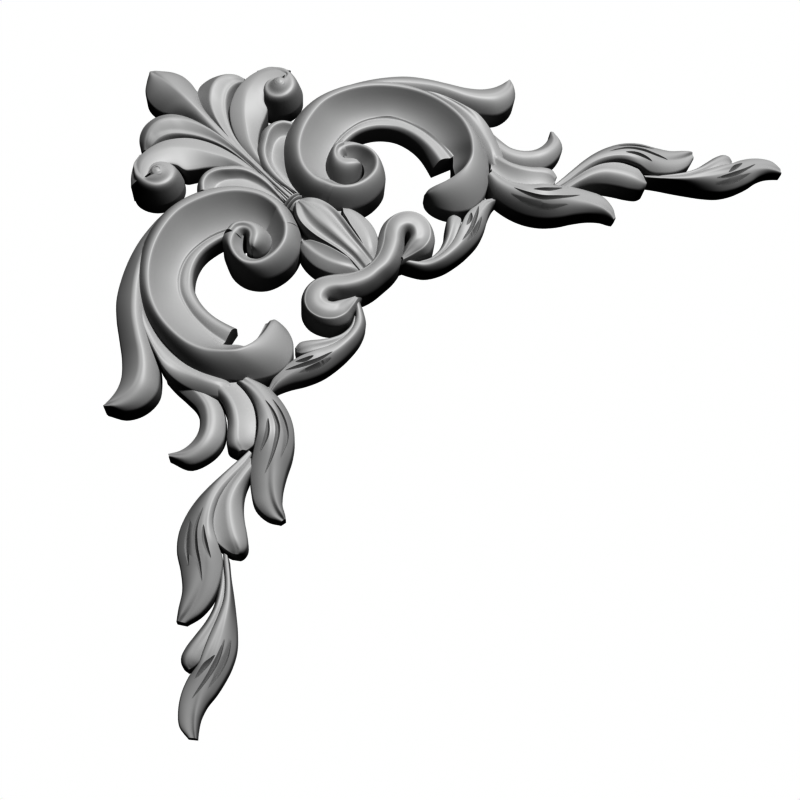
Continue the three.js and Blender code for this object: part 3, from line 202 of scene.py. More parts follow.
leaves = [
    {
        "blade": {
            "upper": [
                (143.8, -43, 9), (147.5, -46.6, 9.6), (152.5, -49.8, 10.6), (158.5, -51.5, 12),
                (165, -51.8, 13.2), (171, -50.5, 10.6), (178, -49.6, 8.4), (185, -50.1, 6.8),
                (191.2, -52, 6), (195.4, -56.6, 4.8), (196.6, -61.3, 4),
            ],
            "ridge": [
                (143.7, -45.3, 11), (146.8, -49.5, 11.8), (152, -53.6, 12.8), (158, -56.2, 14),
                (164.5, -57.3, 14.5), (171, -57, 13.5), (178, -56.2, 11.3), (185, -56.3, 9.3),
                (190.3, -57.8, 7.6), (194, -60, 5.8), (195.8, -62.2, 4.4),
            ],
            "lower": [
                (141.2, -48, 7.5), (144, -54.6, 6.5), (149.8, -60.1, 6.5), (156.8, -63.8, 6.8),
                (164.3, -65.3, 7.2), (171.5, -64.7, 7.5), (178.5, -62.8, 7.2), (185, -61.6, 6.4),
                (190.5, -61.7, 5.4), (193.7, -62.7, 4.4), (195.4, -63, 4),
            ],
            "swells": (0.7, 1.6),
        },
        "lobe": {
            "upper": [
                (145, -31.5, 7), (148.2, -35.2, 7.6), (151.6, -38.1, 7.9), (155.8, -39.9, 8.1),
                (160.8, -40.6, 8.2), (165.6, -40.4, 8.2), (169.6, -41.2, 8.1), (171.8, -44.8, 8),
            ],
            "ridge": [
                (144.5, -36.5, 10.2), (148, -39.3, 10.8), (151.9, -41.8, 11.2), (156.2, -43.4, 11.5),
                (161.2, -44.2, 11.6), (165.4, -44.3, 11.4), (168.6, -44.9, 10.9), (170.9, -46.5, 9.5),
            ],
            "lower": [
                (143.5, -43.5, 9), (147.5, -47, 9), (152, -50, 9.2), (156.5, -52, 9.4), (161, -53, 9.6),
                (165.3, -52.4, 9.6), (168.6, -50.8, 9.2), (170.7, -48.4, 8.6),
            ],
            "swells": (0.8, -0.4),
        },
        "cuts": [
            [(159.8, -55.6), (166.5, -55.4), (173, -52.8)],
            [(151.9, -54), (157.4, -57.4), (163.7, -59.4), (172.1, -58.1), (180.9, -54.9)],
            [(151.1, -56.7), (156, -59.9), (160.8, -61.9), (166.4, -62.8), (174.9, -60.6)],
        ],
    },
    {
        "blade": {
            "upper": [
                (170, -48.3, 6), (174, -44.7, 6), (179, -39.9, 6), (184, -35.1, 6.2), (189, -31.1, 6.5),
                (195, -27.7, 6.8), (202, -25.5, 7.2), (209, -25.4, 7.5), (216, -27.2, 7.4),
                (222.5, -28.1, 6.8), (228.7, -27.1, 5.8), (232.9, -26.6, 4.7),
            ],
            "ridge": [
                (171, -49.5, 8), (175, -46.5, 9), (180.5, -42.3, 10.5), (186, -38.6, 12),
                (191.5, -36.3, 13), (198, -35, 13.6), (204.5, -35, 13.7), (210.5, -36, 12.8),
                (216.5, -36, 10.9), (222.5, -34.6, 9), (228.4, -31.8, 7), (233.2, -28.3, 5),
            ],
            "lower": [
                (172, -50.5, 7), (176.5, -48, 8), (182, -44, 9.3), (187.5, -40.5, 10.6),
                (193, -38.4, 11.6), (199.5, -37.8, 12.2), (206.6, -39.8, 12), (212, -41.7, 9.6),
                (218, -41.3, 8.6), (224.6, -39.2, 7.4), (230.3, -35, 6), (233.6, -30, 4.7),
            ],
            "swells": (1.4, 0.5),
        },
        "lobe": {
            "upper": [
                (173, -48.6, 8), (178, -45, 9), (183.5, -41, 10), (189, -37.8, 10.6),
                (195, -36.4, 10.8), (201, -36.8, 10.6), (205.7, -39, 10.2), (208.5, -42.3, 9.4),
                (209.6, -44.4, 8.6),
            ],
            "ridge": [
                (174, -50.5, 8.5), (180, -47, 10), (185.5, -44, 11), (191, -42.4, 11.6),
                (197, -42.6, 11.7), (202.5, -43.8, 11.5), (206, -45.2, 11), (208.7, -46.4, 9.8),
                (210, -46.2, 8.8),
            ],
            "lower": [
                (176, -52, 7), (181.6, -49.2, 7.4), (186.5, -47.8, 7.6), (191.5, -47.6, 7.8),
                (197, -48.4, 8), (202.5, -49.6, 8), (207, -49.9, 8), (209.3, -48.6, 8), (210, -47.4, 8),
            ],
            "swells": (-0.3, 0.9),
        },
        "cuts": [
            [(200.5, -34.6), (205, -35), (208.8, -36.1), (212.6, -37.9)],
            [(193.6, -34.2), (201.7, -31.8), (208.4, -32.1), (214.2, -33.7), (220.5, -35.1)],
            [(198, -29.6), (204.1, -28.7), (209, -28.9), (214.6, -30)],
        ],
    },
    {
        "blade": {
            "upper": [
                (209, -41.4, 7), (214, -42, 8), (220, -42.8, 9), (226, -42.6, 9.6), (232, -41, 10.1),
                (238, -38.8, 10.5), (243.5, -37, 10.7), (247.8, -35.6, 10.2), (252.1, -32.3, 7.6),
                (257.5, -30.1, 6.5), (263, -29.4, 5.9), (268.1, -30.1, 5.2), (271.6, -33, 4.4),
            ],
            "ridge": [
                (210, -43, 8), (215, -44, 9), (221, -44.6, 10), (227, -44.4, 10.8), (233, -43.4, 11.2),
                (239, -42, 11.2), (244.5, -40.3, 11), (249.5, -38.4, 10.2), (254.5, -36.4, 9),
                (259.5, -34.8, 7.8), (264.5, -34, 6.7), (268.8, -34.3, 5.6), (271.7, -35, 4.6),
            ],
            "lower": [
                (211, -43.6, 5), (216.5, -44.4, 5), (222.7, -45.6, 5), (229.3, -46.7, 5),
                (236, -47.6, 5.2), (242.6, -47.7, 5.5), (248.5, -46.2, 5.7), (253.2, -44, 5.7),
                (257.4, -41.5, 5.5), (261.3, -38.6, 5.2), (265.4, -36.8, 4.8), (269.3, -36.2, 4.4),
                (271.9, -36.1, 4.1),
            ],
            "swells": (0.5, 1.1),
        },
        "lobe": {
            "upper": [
                (212, -40.6, 5), (217, -40.6, 5.5), (222, -40.2, 5.8), (228, -39.1, 6.1),
                (233, -36.8, 6.3), (238, -33.4, 6.6), (242, -30.7, 6.8), (245.5, -29.3, 6.8),
                (248.3, -29.8, 6.4), (249.9, -31.8, 6),
            ],
            "ridge": [
                (212, -42, 6.5), (217.5, -42, 8), (223, -41.7, 9), (229, -40.5, 9.5),
                (234.5, -38.3, 9.7), (239.5, -35.3, 9.8), (243, -33.2, 9.6), (246, -32, 9.2),
                (248, -31.9, 8.2), (249.4, -32.6, 6.8),
            ],
            "lower": [
                (212, -43.4, 7), (218, -43.8, 8), (224, -43.8, 8.8), (230, -42.8, 9.2),
                (235.5, -40.9, 9.4), (241, -38.6, 9.6), (244.8, -37, 9.6), (247.3, -35.8, 9),
                (248.5, -34.6, 8), (249.3, -33.3, 6.8),
            ],
            "swells": (0.5, -0.3),
        },
        "cuts": [
            [(245.3, -41.1), (249.2, -37.8), (253.2, -34.4)],
            [(240, -44), (246.7, -42), (251.2, -39.7), (259.8, -33.6)],
            [(240.1, -46), (245.8, -44.8), (250.8, -42.6), (256.4, -39)],
        ],
    },
]

sprig = {
    "blade": {
        "upper": [
            (104.4, -86.4, 8.4), (110.8, -87.5, 7.6), (116, -87.2, 7.8), (120.9, -84.8, 8.4),
            (125.5, -80, 9), (128.3, -75.3, 9.8), (130.3, -70.8, 10.3), (132, -66.3, 9.3),
            (134.8, -61.8, 7.8), (139, -57.2, 6.8), (146, -54, 5.2),
        ],
        "ridge": [
            (103.4, -87, 9.2), (110.2, -88.6, 8.8), (115.8, -88.9, 8.8), (121.4, -86.7, 9.6),
            (127, -82, 10.1), (131, -77, 10.4), (134.2, -72, 10.4), (136.5, -67, 9.9),
            (138.5, -62.5, 9), (141.5, -58.2, 7.6), (146.8, -54.7, 5.3),
        ],
        "lower": [
            (102.8, -88.2, 5.2), (109.4, -90.7, 5), (115.6, -91.8, 5), (122.4, -89.8, 5.2),
            (129, -85.2, 5.4), (134.1, -80.2, 5.6), (138, -75.1, 5.7), (140.8, -69, 5.7),
            (142.6, -63, 5.5), (144.8, -58.2, 5.2), (147.8, -54.8, 4.8),
        ],
        "swells": (0.2, 1),
    },
    "lobe": {
        "upper": [
            (112, -87, 5.5), (117, -85.4, 6), (120.8, -82.1, 6.5), (122.8, -78.3, 7),
            (123.8, -74.2, 7.2), (124.3, -70, 7.3), (125.2, -66.3, 7.1), (127.3, -64.5, 6.6),
        ],
        "ridge": [
            (113, -87.5, 7), (118.5, -86, 8), (122.3, -82.6, 9), (124.6, -78.3, 9.6), (126, -73.8, 9.8),
            (127, -69.5, 9.6), (127.9, -66.5, 8.8), (128.4, -65, 7.2),
        ],
        "lower": [
            (114, -88, 7.5), (119.8, -86.6, 8.2), (124.4, -83, 8.8), (127.4, -78.2, 9.1),
            (129.3, -73.2, 9.3), (130.5, -69.2, 9.1), (130.6, -66.8, 8.1), (129.6, -65, 6.8),
        ],
        "swells": (0.5, -0.2),
    },
    "cuts": [
        [(132.3, -71.8), (134, -68.4), (134.6, -64.6)],
        [(130.2, -79.1), (134, -73.3), (136.4, -66.9), (138, -60.7)],
        [(132.6, -78.6), (136.4, -73.4), (139.1, -66.2)],
    ],
}

apex_leaf = {
    "edge": [
        (-0.5, 0.6, 8), (1.9, 4.1, 7.8), (4.9, 7.4, 7.4), (8.7, 9.6, 6.8), (12.8, 10.1, 6.3),
        (16.9, 9.5, 6.2), (20.4, 8.1, 7.2), (24.4, 6, 7.9), (30, 3.9, 8.4), (42, 2.6, 8.4),
        (62, 1.5, 8.3), (88, 1.1, 8),
    ],
    "ridge": [
        (-0.3, 0, 9.2), (4, 0, 10.9), (8, 0, 12.4), (12, 0, 13.3), (16, 0, 13.8), (20, 0, 13.9),
        (24, 0, 13.7), (28.5, 0, 13.1), (34, 0, 12.2), (44, 0, 11.2), (62, 0, 10.5), (88, 0, 9.8),
    ],
}

side_lobe = {
    "outer": [
        (39.5, 0.6, 6.5), (35.4, 2, 7), (30.6, 2, 7), (25.4, 0.2, 6.6), (20.9, -4.2, 6.4),
        (20, -10, 7.4), (21.4, -15.8, 8), (25, -22.4, 8.3), (31.3, -29.8, 8.5), (43, -43, 8),
        (61.6, -60.2, 7.8),
    ],
    "ridge": [
        (39.3, -0.8, 8), (35.6, -1.3, 10.6), (31.4, -2.7, 12), (28.2, -5.7, 12.8), (26.4, -9.9, 12.8),
        (26, -14.7, 12.3), (27.3, -20.5, 11.9), (30.3, -27, 11.5), (34.8, -33.5, 10.9), (45, -44, 10),
        (61.9, -59.8, 9.6),
    ],
    "shoulder": [
        (39.6, -1.6, 7.6), (37.6, -3.4, 9.8), (34.9, -5.8, 10.8), (32.9, -9, 11.1), (32, -12.8, 11),
        (32, -17.6, 10.7), (33, -23.3, 10.4), (35.3, -29.6, 10.1), (38.9, -35.6, 9.8),
        (46.6, -44.7, 9.4), (62.1, -59.6, 9),
    ],
    "inner": [
        (39.8, -2.2, 6.4), (38.7, -4.4, 6.4), (36.7, -7.2, 6.4), (35, -10.8, 6.4), (34.2, -14.6, 6.4),
        (34.2, -19.8, 6.6), (35.2, -25.4, 6.8), (37.4, -31.4, 7), (41, -37.2, 7.2), (48.5, -45.6, 7.4),
        (62.3, -59.4, 7.6),
    ],
    "swells": (0.3, 0.1, 0.5),
}

curl_leaf = {
    "left": [
        (59, 3, 10.5), (54.6, 3.2, 11.6), (49.7, 2.5, 12.2), (44.8, 0.2, 12.4), (40.4, -3.6, 12.2),
        (37, -8.2, 11.8), (34.9, -13.5, 11.2), (34, -18.6, 10.5), (34.6, -24.4, 9.8),
        (36.6, -30.5, 9.2), (40.5, -37.4, 8.8), (46, -44.5, 8.5), (53.2, -51.6, 8.3), (62.4, -59.3, 8),
    ],
    "middle": [
        (57.6, -1.6, 14.6), (53.6, -0.8, 14.2), (49, -1.4, 13.9), (45.1, -3.9, 13.6),
        (42.4, -7.3, 13.3), (40.6, -11.3, 13), (40, -15.8, 12.5), (40.1, -20.8, 11.9),
        (40.9, -26.2, 11.3), (42.2, -32, 10.7), (44.8, -38.5, 10.3), (49.4, -45.5, 10),
        (55.5, -52.3, 9.9), (62.7, -58.9, 9.8),
    ],
    "right": [
        (57, -5, 13), (53, -6, 13), (50.2, -8, 12.6), (48.6, -11, 12), (48.6, -14.6, 11.2),
        (50, -17.8, 10.2), (49.2, -21.2, 9.4), (47.8, -25.4, 8.9), (46.9, -30, 8.6), (46.9, -35.5, 8.4),
        (48.9, -41, 8.3), (52, -46.8, 8.2), (56.7, -52.7, 8.1), (63, -58.6, 8),
    ],
    "swells": (0.2, 0.3),
}

bell = {
    "foot": [
        (44.6, 1.4, 9), (49.4, 3, 7), (53.8, 3.5, 5.5), (57.8, 3, 5), (61.4, 1.1, 5), (63.8, -2.7, 5),
        (64.4, -7.6, 5), (62.6, -12.4, 5), (59, -15.9, 5), (54.2, -17.4, 5), (49.2, -16.4, 5),
        (46.7, -12.8, 5.5), (46.6, -8.8, 8), (48, -5.4, 10), (50.6, -3.6, 11), (53.6, -2.8, 11.5),
        (56.4, -2.6, 12),
    ],
    "edge": [
        (45, 0.2, 12.5), (49.6, 2.2, 13), (53, 1.6, 13.8), (55.9, 0.4, 14.6), (58, -1.8, 15),
        (59.8, -4.6, 15), (60.4, -7.8, 14.8), (59.2, -11, 14.6), (56.6, -13.2, 14.4),
        (53.5, -13.7, 14.2), (50.8, -12.5, 14), (49.3, -10, 13.8), (49.3, -7.4, 13.8),
        (50.6, -5.4, 13.8), (52.8, -4.1, 13.8), (55.2, -3.2, 13.9), (57.2, -1.9, 14.2),
    ],
    "top": [
        (47, -3.6, 13.2), (50.4, -4.2, 12.8), (53.2, -4, 12.6), (55.4, -3.2, 12.8), (57.2, -2.6, 14),
        (57, -5, 15.8), (56.6, -6.8, 16.5), (56, -8, 16.8), (55.4, -8.8, 16.9), (54.6, -9, 16.9),
        (53.9, -8.6, 16.9), (53.5, -8, 16.9), (53.5, -7.3, 16.9), (53.9, -6.6, 16.8),
        (54.5, -6.2, 16.7), (55.2, -5.8, 16.5), (56, -5.2, 16.2),
    ],
    "swells": (0.6, 0.3),
}

bell_rings = [
    (54.8, -7.9, 0.34, 6), (54.8, -7.9, 0.34, 15.4), (54.8, -7.8, 0.22, 16.5), (54.8, -7.6, 0.05, 17),
]

crown_bed = [
    (13, 5, 5.6), (17.2, 9.4, 5.6), (20.5, 9.6, 6), (25, 9, 6.6), (31, 8.4, 7.2), (40, 7.8, 8.2),
    (50, 7.4, 8.5), (60, 6.6, 8.8), (72, 5.2, 9), (80, 4.2, 9), (88, 3.4, 8.8),
]

cupped_leaf = {
    "outer": [
        (60.5, -23.2, 8.6), (55.6, -23.1, 9), (51.2, -24.9, 9.2), (48, -28.7, 9.4), (46.9, -33.8, 9.3),
        (46.3, -38.5, 9.2), (46.8, -42.5, 9), (48.5, -46.8, 8.8), (51.8, -51.2, 8.5), (56.4, -55, 8.2),
        (62.9, -58.8, 8),
    ],
    "rim": [
        (60.5, -25.9, 12.3), (56.8, -25.6, 12.8), (53.4, -27.2, 13), (51.2, -30.6, 13),
        (50.2, -34.8, 12.8), (49.6, -38.8, 12.4), (49.9, -42.3, 12), (51.2, -45.8, 11.5),
        (53.9, -49.9, 11), (57.8, -54, 10.4), (63.2, -58.4, 9.8),
    ],
    "cup": [
        (60.5, -31, 9.3), (57.8, -30.8, 9.3), (55.4, -32, 9.2), (53.8, -34.5, 9.2), (53, -37.8, 9.1),
        (52.9, -41, 9.1), (53.5, -44, 9), (55.2, -47.4, 9), (57.7, -50.9, 9), (60.3, -54.2, 9),
        (63.5, -58.2, 9),
    ],
    "wall": [
        (63, -36, 11), (61.5, -35.6, 11), (60.4, -36.3, 11), (59.8, -38, 11), (59.7, -40.5, 11),
        (60, -43.5, 10.8), (60.8, -46.5, 10.6), (61.8, -49.6, 10.4), (62.8, -52.6, 10),
        (63.7, -55.2, 9.5), (64.2, -57.8, 9),
    ],
}

palmette = {
    "edge": [
        (90, 1.5, 11), (92, 3.7, 11.6), (95.2, 6, 11.8), (99.3, 7.4, 11.9), (104, 7.8, 12),
        (109, 7.4, 12.2), (113.8, 6.4, 12.6), (119.2, 5.3, 12.6), (124.5, 4.6, 11.8), (130.4, 4.4, 9.8),
    ],
    "rim": [
        (90.6, 1.1, 12.2), (92.6, 3, 13.6), (95.6, 5.4, 14), (99.5, 6.8, 14.1), (104, 7.2, 14.3),
        (109, 6.8, 14.4), (113.8, 5.8, 14.4), (119.2, 4.7, 14.2), (124.5, 4, 13.3), (130.4, 3.8, 11),
    ],
    "dip": [
        (91, 0.7, 12.5), (94, 1.9, 13.6), (97.2, 3.4, 13.8), (100.6, 4.5, 13.8), (104.6, 4.9, 13.6),
        (109, 4.5, 13.3), (113.6, 3.8, 13.1), (118.8, 3, 13), (124.2, 2.5, 12.5), (130.4, 2.3, 10.4),
    ],
    "middle": [
        (91, 0, 12.8), (94.5, 0, 14.4), (98, 0, 15.1), (101.4, 0, 15.4), (105, 0, 15.5),
        (109.2, 0, 15.4), (113.8, 0, 15), (119, 0, 14.5), (124.4, 0, 13.8), (130.4, 0, 11.4),
    ],
    "swells": (0.2, 0, 0.4),
}

side_petal = {
    "outer": [
        (82, -65.4, 9.4), (84.8, -65.1, 9.6), (88.9, -67.2, 9.6), (92.6, -70.7, 9.6),
        (95.1, -74.8, 9.8), (96.3, -78.8, 9.8), (96.6, -83, 9.6), (96, -88, 9.4),
    ],
    "middle": [
        (82, -65.9, 11), (84.2, -67.7, 11.8), (87, -70.6, 12.1), (89.6, -74.2, 12.3), (91.6, -78, 12.5),
        (92.9, -81.8, 12.5), (93.8, -85.6, 12), (94.4, -89.4, 10.6),
    ],
    "inner": [
        (82, -66.4, 11.2), (82.2, -69.2, 12.9), (83.6, -72.4, 13.7), (85.2, -75.8, 14.1),
        (87.2, -79.2, 14.3), (89.1, -82.4, 14.1), (90.9, -85.8, 13.1), (92.4, -89.4, 11),
    ],
    "swells": (0.2, -0.2),
}

band = {
    "outer": [
        (94.6, -88, 9.8), (95.8, -82.4, 10), (96.8, -76.6, 10), (98.7, -71.8, 10), (102.4, -68.2, 10),
        (107, -66.5, 10), (112, -66.9, 10), (116.2, -69.6, 9.8), (118.8, -74.4, 9.6),
        (119.2, -80.2, 9.2), (116.8, -84.6, 8.8), (112.2, -87, 8.2), (105, -90.4, 7),
    ],
    "edge": [
        (96.5, -88.2, 13), (98.4, -82.6, 13), (99.1, -77, 13), (100.4, -72.9, 13), (103.3, -69.6, 13),
        (107.1, -68, 13), (111, -68, 12.9), (114.4, -69.8, 12.8), (116.9, -74, 12.7),
        (117, -79.3, 12.6), (114.8, -83.3, 12.3), (111.2, -85.8, 11.4), (106.4, -88.3, 10),
    ],
    "ridge": [
        (98.8, -92.6, 14.8), (101.2, -87.6, 14.7), (102.9, -82, 14.6), (103.4, -77.4, 14.5),
        (104.8, -74.1, 14.4), (107.4, -72.4, 14.3), (110.3, -72.6, 14.1), (112.3, -74.6, 14),
        (112.9, -77.8, 13.8), (112, -80.8, 13.6), (110.4, -82.8, 12.8), (108.8, -84.8, 11.6),
        (106, -87.4, 10),
    ],
    "inner": [
        (102.6, -94.6, 8), (105.2, -90.4, 8), (106.6, -85.4, 7.6), (107.2, -81.6, 7.6),
        (107.2, -79, 8.8), (107.3, -77.4, 10), (107.9, -76.8, 10.4), (108.6, -77.2, 10.6),
        (108.9, -78.6, 10.4), (107.6, -80.6, 8.8), (106.6, -82.8, 7.6), (106, -85, 7.6),
        (105, -87.4, 8),
    ],
    "swells": (0.3, 0.2, 1.2),
}

band_middle = {
    "outer": (130, 0, 9.6),
    "edge": (131.5, 0, 13),
    "ridge": (135.4, 0, 14.9),
    "inner": (139.6, 0, 8),
}

petal_bed = [
    (93, 3, 8.2), (99, 7.5, 8.4), (105, 12, 8.6), (111, 14.5, 8.8), (119, 14, 9), (127, 12.5, 9),
]

# Points and rails


def on_diagonal(points):
    """Points of the drawing for places along and across the diagonal: the pair turned by 45 degrees."""
    return [((a + b) * math.sqrt(0.5), (b - a) * math.sqrt(0.5), z) for a, b, z in points]


def mirrored(points):
    """The left arm's points for those of the right arm: plan coordinates exchanged and negated."""
    return [(-y, -x, z) for x, y, z in points]


def rail(points, shares):
    """A centripetal Catmull-Rom curve through the points, read at shares of its run from 0 to 1.

    Each stretch is a cubic whose end slopes follow its neighbours, spaced by the square roots of the distances
    between the points.
    """
    p = np.array(points, dtype=float)
    ends = np.vstack([2 * p[0] - p[1], p, 2 * p[-1] - p[-2]])
    gaps = np.sqrt(np.linalg.norm(np.diff(ends, axis=0), axis=1))
    gaps = np.maximum(gaps, 1e-4)
    run = np.asarray(shares, dtype=float) * (len(p) - 1)
    first = np.clip(np.floor(run).astype(int), 0, len(p) - 2)
    w = (run - first)[:, None]
    a, b, c, d = (ends[first + k] for k in range(4))
    g0, g1, g2 = (gaps[first + k][:, None] for k in range(3))
    slope_b = ((b - a) / g0 - (c - a) / (g0 + g1) + (c - b) / g1) * g1
    slope_c = ((c - b) / g1 - (d - b) / (g1 + g2) + (d - c) / g2) * g1
    square = 3 * (c - b) - 2 * slope_b - slope_c
    cube = 2 * (b - c) + slope_b + slope_c
    return b + slope_b * w + square * w ** 2 + cube * w ** 3


def rail_length(points):
    """Length of the rail in millimetres, from 400 short chords."""
    line = rail(points, np.linspace(0, 1, 401))
    return np.linalg.norm(np.diff(line, axis=0), axis=1).sum()


def eased(share, first, last):
    """A share from 0 to 1 that starts and ends gently.

    Its slope builds up evenly over the first share, stays, and dies out evenly over the last share.
    """
    slope = 1 / (1 - first / 2 - last / 2)
    start = slope * share ** 2 / np.maximum(2 * first, 1e-9)
    finish = 1 - slope * (1 - share) ** 2 / np.maximum(2 * last, 1e-9)
    straight = slope * (share - first / 2)
    return np.where(share < first, start, np.where(share > 1 - last, finish, straight))


# Solids


def solid_object(name, points, faces):
    """A mesh object at the origin, in metres, from an array of drawing points and a list of faces.

    Standing up takes (x, y, z) to (x - inset, -z, y + inset).
    """
    p = np.asarray(points, dtype=float)
    upright = np.column_stack([p[:, 0] - mount_inset, -p[:, 2], p[:, 1] + mount_inset]) / 1000
    mesh = bpy.data.meshes.new(name)
    mesh.from_pydata(upright, [], faces)
    mesh.update()
    made = bpy.data.objects.new(name, mesh)
    bpy.context.collection.objects.link(made)
    return made


def outward(points, triangles):
    """The triangles, turned over if the volume that they enclose comes out negative."""
    corners = points[triangles]
    volume = np.einsum("ij,ij->i", corners[:, 0], np.cross(corners[:, 1], corners[:, 2])).sum()
    return triangles if volume > 0 else triangles[:, ::-1]


def arris_drop(distance, width):
    """Drop of a rounded arris at a distance d from the edge: r (1 - sqrt(1 - (1 - d / r)^2)).

    The radius r is the arris, or less on a narrow strip.
    """
    radius = np.minimum(arris, widest_rounding * width)
    inside = np.clip(1 - distance / radius, 0, 1)
    return radius * (1 - np.sqrt(np.maximum(1 - inside ** 2, 0)))


def carved_grid(rails, swells, softness, facets, steps, edges):
    """The carved surface between rails, as a grid of points.

    Between two rails the plan place moves evenly and the height is eased from one to the other, with a swell
    of the given height in the middle. Points stand closer together in the rounding beside each rail. The pair of
    edges says whether the arris along the first and the last rail is rounded.
    """
    final = len(swells) - 1
    shares = np.linspace(0, 1, steps + 1)
    places = [rail(points, shares) for points in rails]
    columns = []
    for lane, swell in enumerate(swells):
        start = places[lane]
        end = places[lane + 1]
        width = np.linalg.norm(end[:, :2] - start[:, :2], axis=1)[:, None] + 1e-6
        soft_start = max(softness[lane], arris if lane == 0 else 0)
        soft_end = max(softness[lane + 1], arris if lane == final else 0)
        first = np.minimum(softness[lane] / width, widest_rounding)
        last = np.minimum(softness[lane + 1] / width, widest_rounding)
        near_start = np.minimum(soft_start / width, widest_rounding)
        near_end = np.minimum(soft_end / width, widest_rounding)
        near = rounding_steps
        middle = facets[lane]
        ramp = np.linspace(0, 1, near + 1)
        one = np.concatenate([ramp[:-1], np.ones(middle + near + 1)])
        two = np.concatenate([np.zeros(near), np.linspace(0, 1, middle + 1)[:-1], np.ones(near + 1)])
        three = np.concatenate([np.zeros(near + middle), ramp])
        share = near_start * one + (1 - near_start - near_end) * two + near_end * three
        rise = eased(share, first, last)
        taper = np.minimum(1, width / full_swell_width)
        plan = start[:, None, :2] + (end - start)[:, None, :2] * share[:, :, None]
        height = start[:, 2:] + (end - start)[:, 2:] * rise + swell * taper * 4 * rise * (1 - rise)
        if lane == 0 and edges[0]:
            height = height - arris_drop(share * width, width)
        if lane == final and edges[1]:
            height = height - arris_drop((1 - share) * width, width)
        grid = np.concatenate([plan, height[:, :, None]], axis=2)
        columns.append(grid if lane == 0 else grid[:, 1:])
    return np.concatenate(columns, axis=1)


def solid_under(name, grid):
    """Closes a grid of surface points with upright walls down to the flat back, and makes the object."""
    rows, across = grid.shape[:2]
    left = grid[:, :1] * (1, 1, 0)
    right = grid[:, -1:] * (1, 1, 0)
    points = np.concatenate([left, grid, right], axis=1)
    stride = across + 2
    points = points.reshape(-1, 3)
    i, j = np.meshgrid(np.arange(rows - 1), np.arange(stride), indexing="ij")
    here = (i * stride + j).ravel()
    beside = (i * stride + (j + 1) % stride).ravel()
    top = np.concatenate([
        np.column_stack([here, beside, beside + stride]),
        np.column_stack([here, beside + stride, here + stride]),
    ])
    k = np.arange(1, stride - 1)
    zero = np.zeros_like(k)
    last = (rows - 1) * stride
    caps = np.concatenate([
        np.column_stack([zero, k + 1, k]),
        np.column_stack([zero + last, last + k, last + k + 1]),
    ])
    triangles = outward(points, np.concatenate([top, caps]))
    return solid_object(name, points, triangles)


def form_grid(rails, swells, softness=None, facets=None, length=None, edges=(True, True)):
    """The surface of a carved form: its rails, with the fullness between them."""
    steps = max(12, round(max(rail_length(points) for points in rails) / (length or facet_length)))
    if softness is None:
        softness = [0] + [crest_rounding] * (len(rails) - 2) + [0]
    if facets is None:
        facets = [5] * len(swells)
    return carved_grid(rails, swells, softness, facets, steps, edges)


def form(name, rails, swells, **more):
    """A carved form as a solid object."""
    return solid_under(name, form_grid(rails, swells, **more))


def height_on(grid, places):
    """Heights of a carved surface over plan places, or 0 beside it.

    Each height is worked out in the triangle that holds the place, by its shares of two of the sides.
    """
    corners = grid[:-1, :-1].reshape(-1, 3)
    beside = grid[:-1, 1:].reshape(-1, 3)
    across = grid[1:, 1:].reshape(-1, 3)
    along = grid[1:, :-1].reshape(-1, 3)
    a = np.concatenate([corners, corners])
    b = np.concatenate([beside, across])
    c = np.concatenate([across, along])
    area = (b[:, 0] - a[:, 0]) * (c[:, 1] - a[:, 1]) - (c[:, 0] - a[:, 0]) * (b[:, 1] - a[:, 1])
    area = np.where(np.abs(area) < 1e-9, np.inf, area)
    x = places[:, 0][:, None]
    y = places[:, 1][:, None]
    to_b = ((x - a[:, 0]) * (c[:, 1] - a[:, 1]) - (c[:, 0] - a[:, 0]) * (y - a[:, 1])) / area
    to_c = ((b[:, 0] - a[:, 0]) * (y - a[:, 1]) - (x - a[:, 0]) * (b[:, 1] - a[:, 1])) / area
    holds = (to_b >= -1e-6) & (to_c >= -1e-6) & (to_b + to_c <= 1 + 1e-6) & np.isfinite(area)
    height = a[:, 2] + to_b * (b[:, 2] - a[:, 2]) + to_c * (c[:, 2] - a[:, 2])
    return np.where(holds, height, 0).max(axis=1)


def ring_stack(name, rings):
    """A stack of rings (x, y, radius, z), closed by its lowest and highest ring."""
    angle = np.linspace(0, 2 * math.pi, turn_steps, endpoint=False)
    rows = [np.column_stack([x + r * np.cos(angle), y + r * np.sin(angle), np.full(turn_steps, z)])
            for x, y, r, z in rings]
    points = np.concatenate(rows)
    i, k = np.meshgrid(np.arange(len(rings) - 1), np.arange(turn_steps), indexing="ij")
    here = (i * turn_steps + k).ravel()
    beside = (i * turn_steps + (k + 1) % turn_steps).ravel()
    top = (len(rings) - 1) * turn_steps
    k = np.arange(1, turn_steps - 1)
    triangles = np.concatenate([
        np.column_stack([here, beside, beside + turn_steps]),
        np.column_stack([here, beside + turn_steps, here + turn_steps]),
        np.column_stack([np.zeros_like(k), k + 1, k]),
        np.column_stack([np.full_like(k, top), top + k, top + k + 1]),
    ])
    return solid_object(name, points, outward(points, triangles))


def smooth_rings(rings, count):
    """More rings between the given ones, along smooth curves through their centres, radii and heights."""
    shares = np.linspace(0, 1, count)
    centres = rail([(x, y, z) for x, y, r, z in rings], shares)
    radii = rail([(r, 0, z) for x, y, r, z in rings], shares)
    return [(x, y, max(r, 0.05), z) for (x, y, z), r in zip(centres, radii[:, 0])]


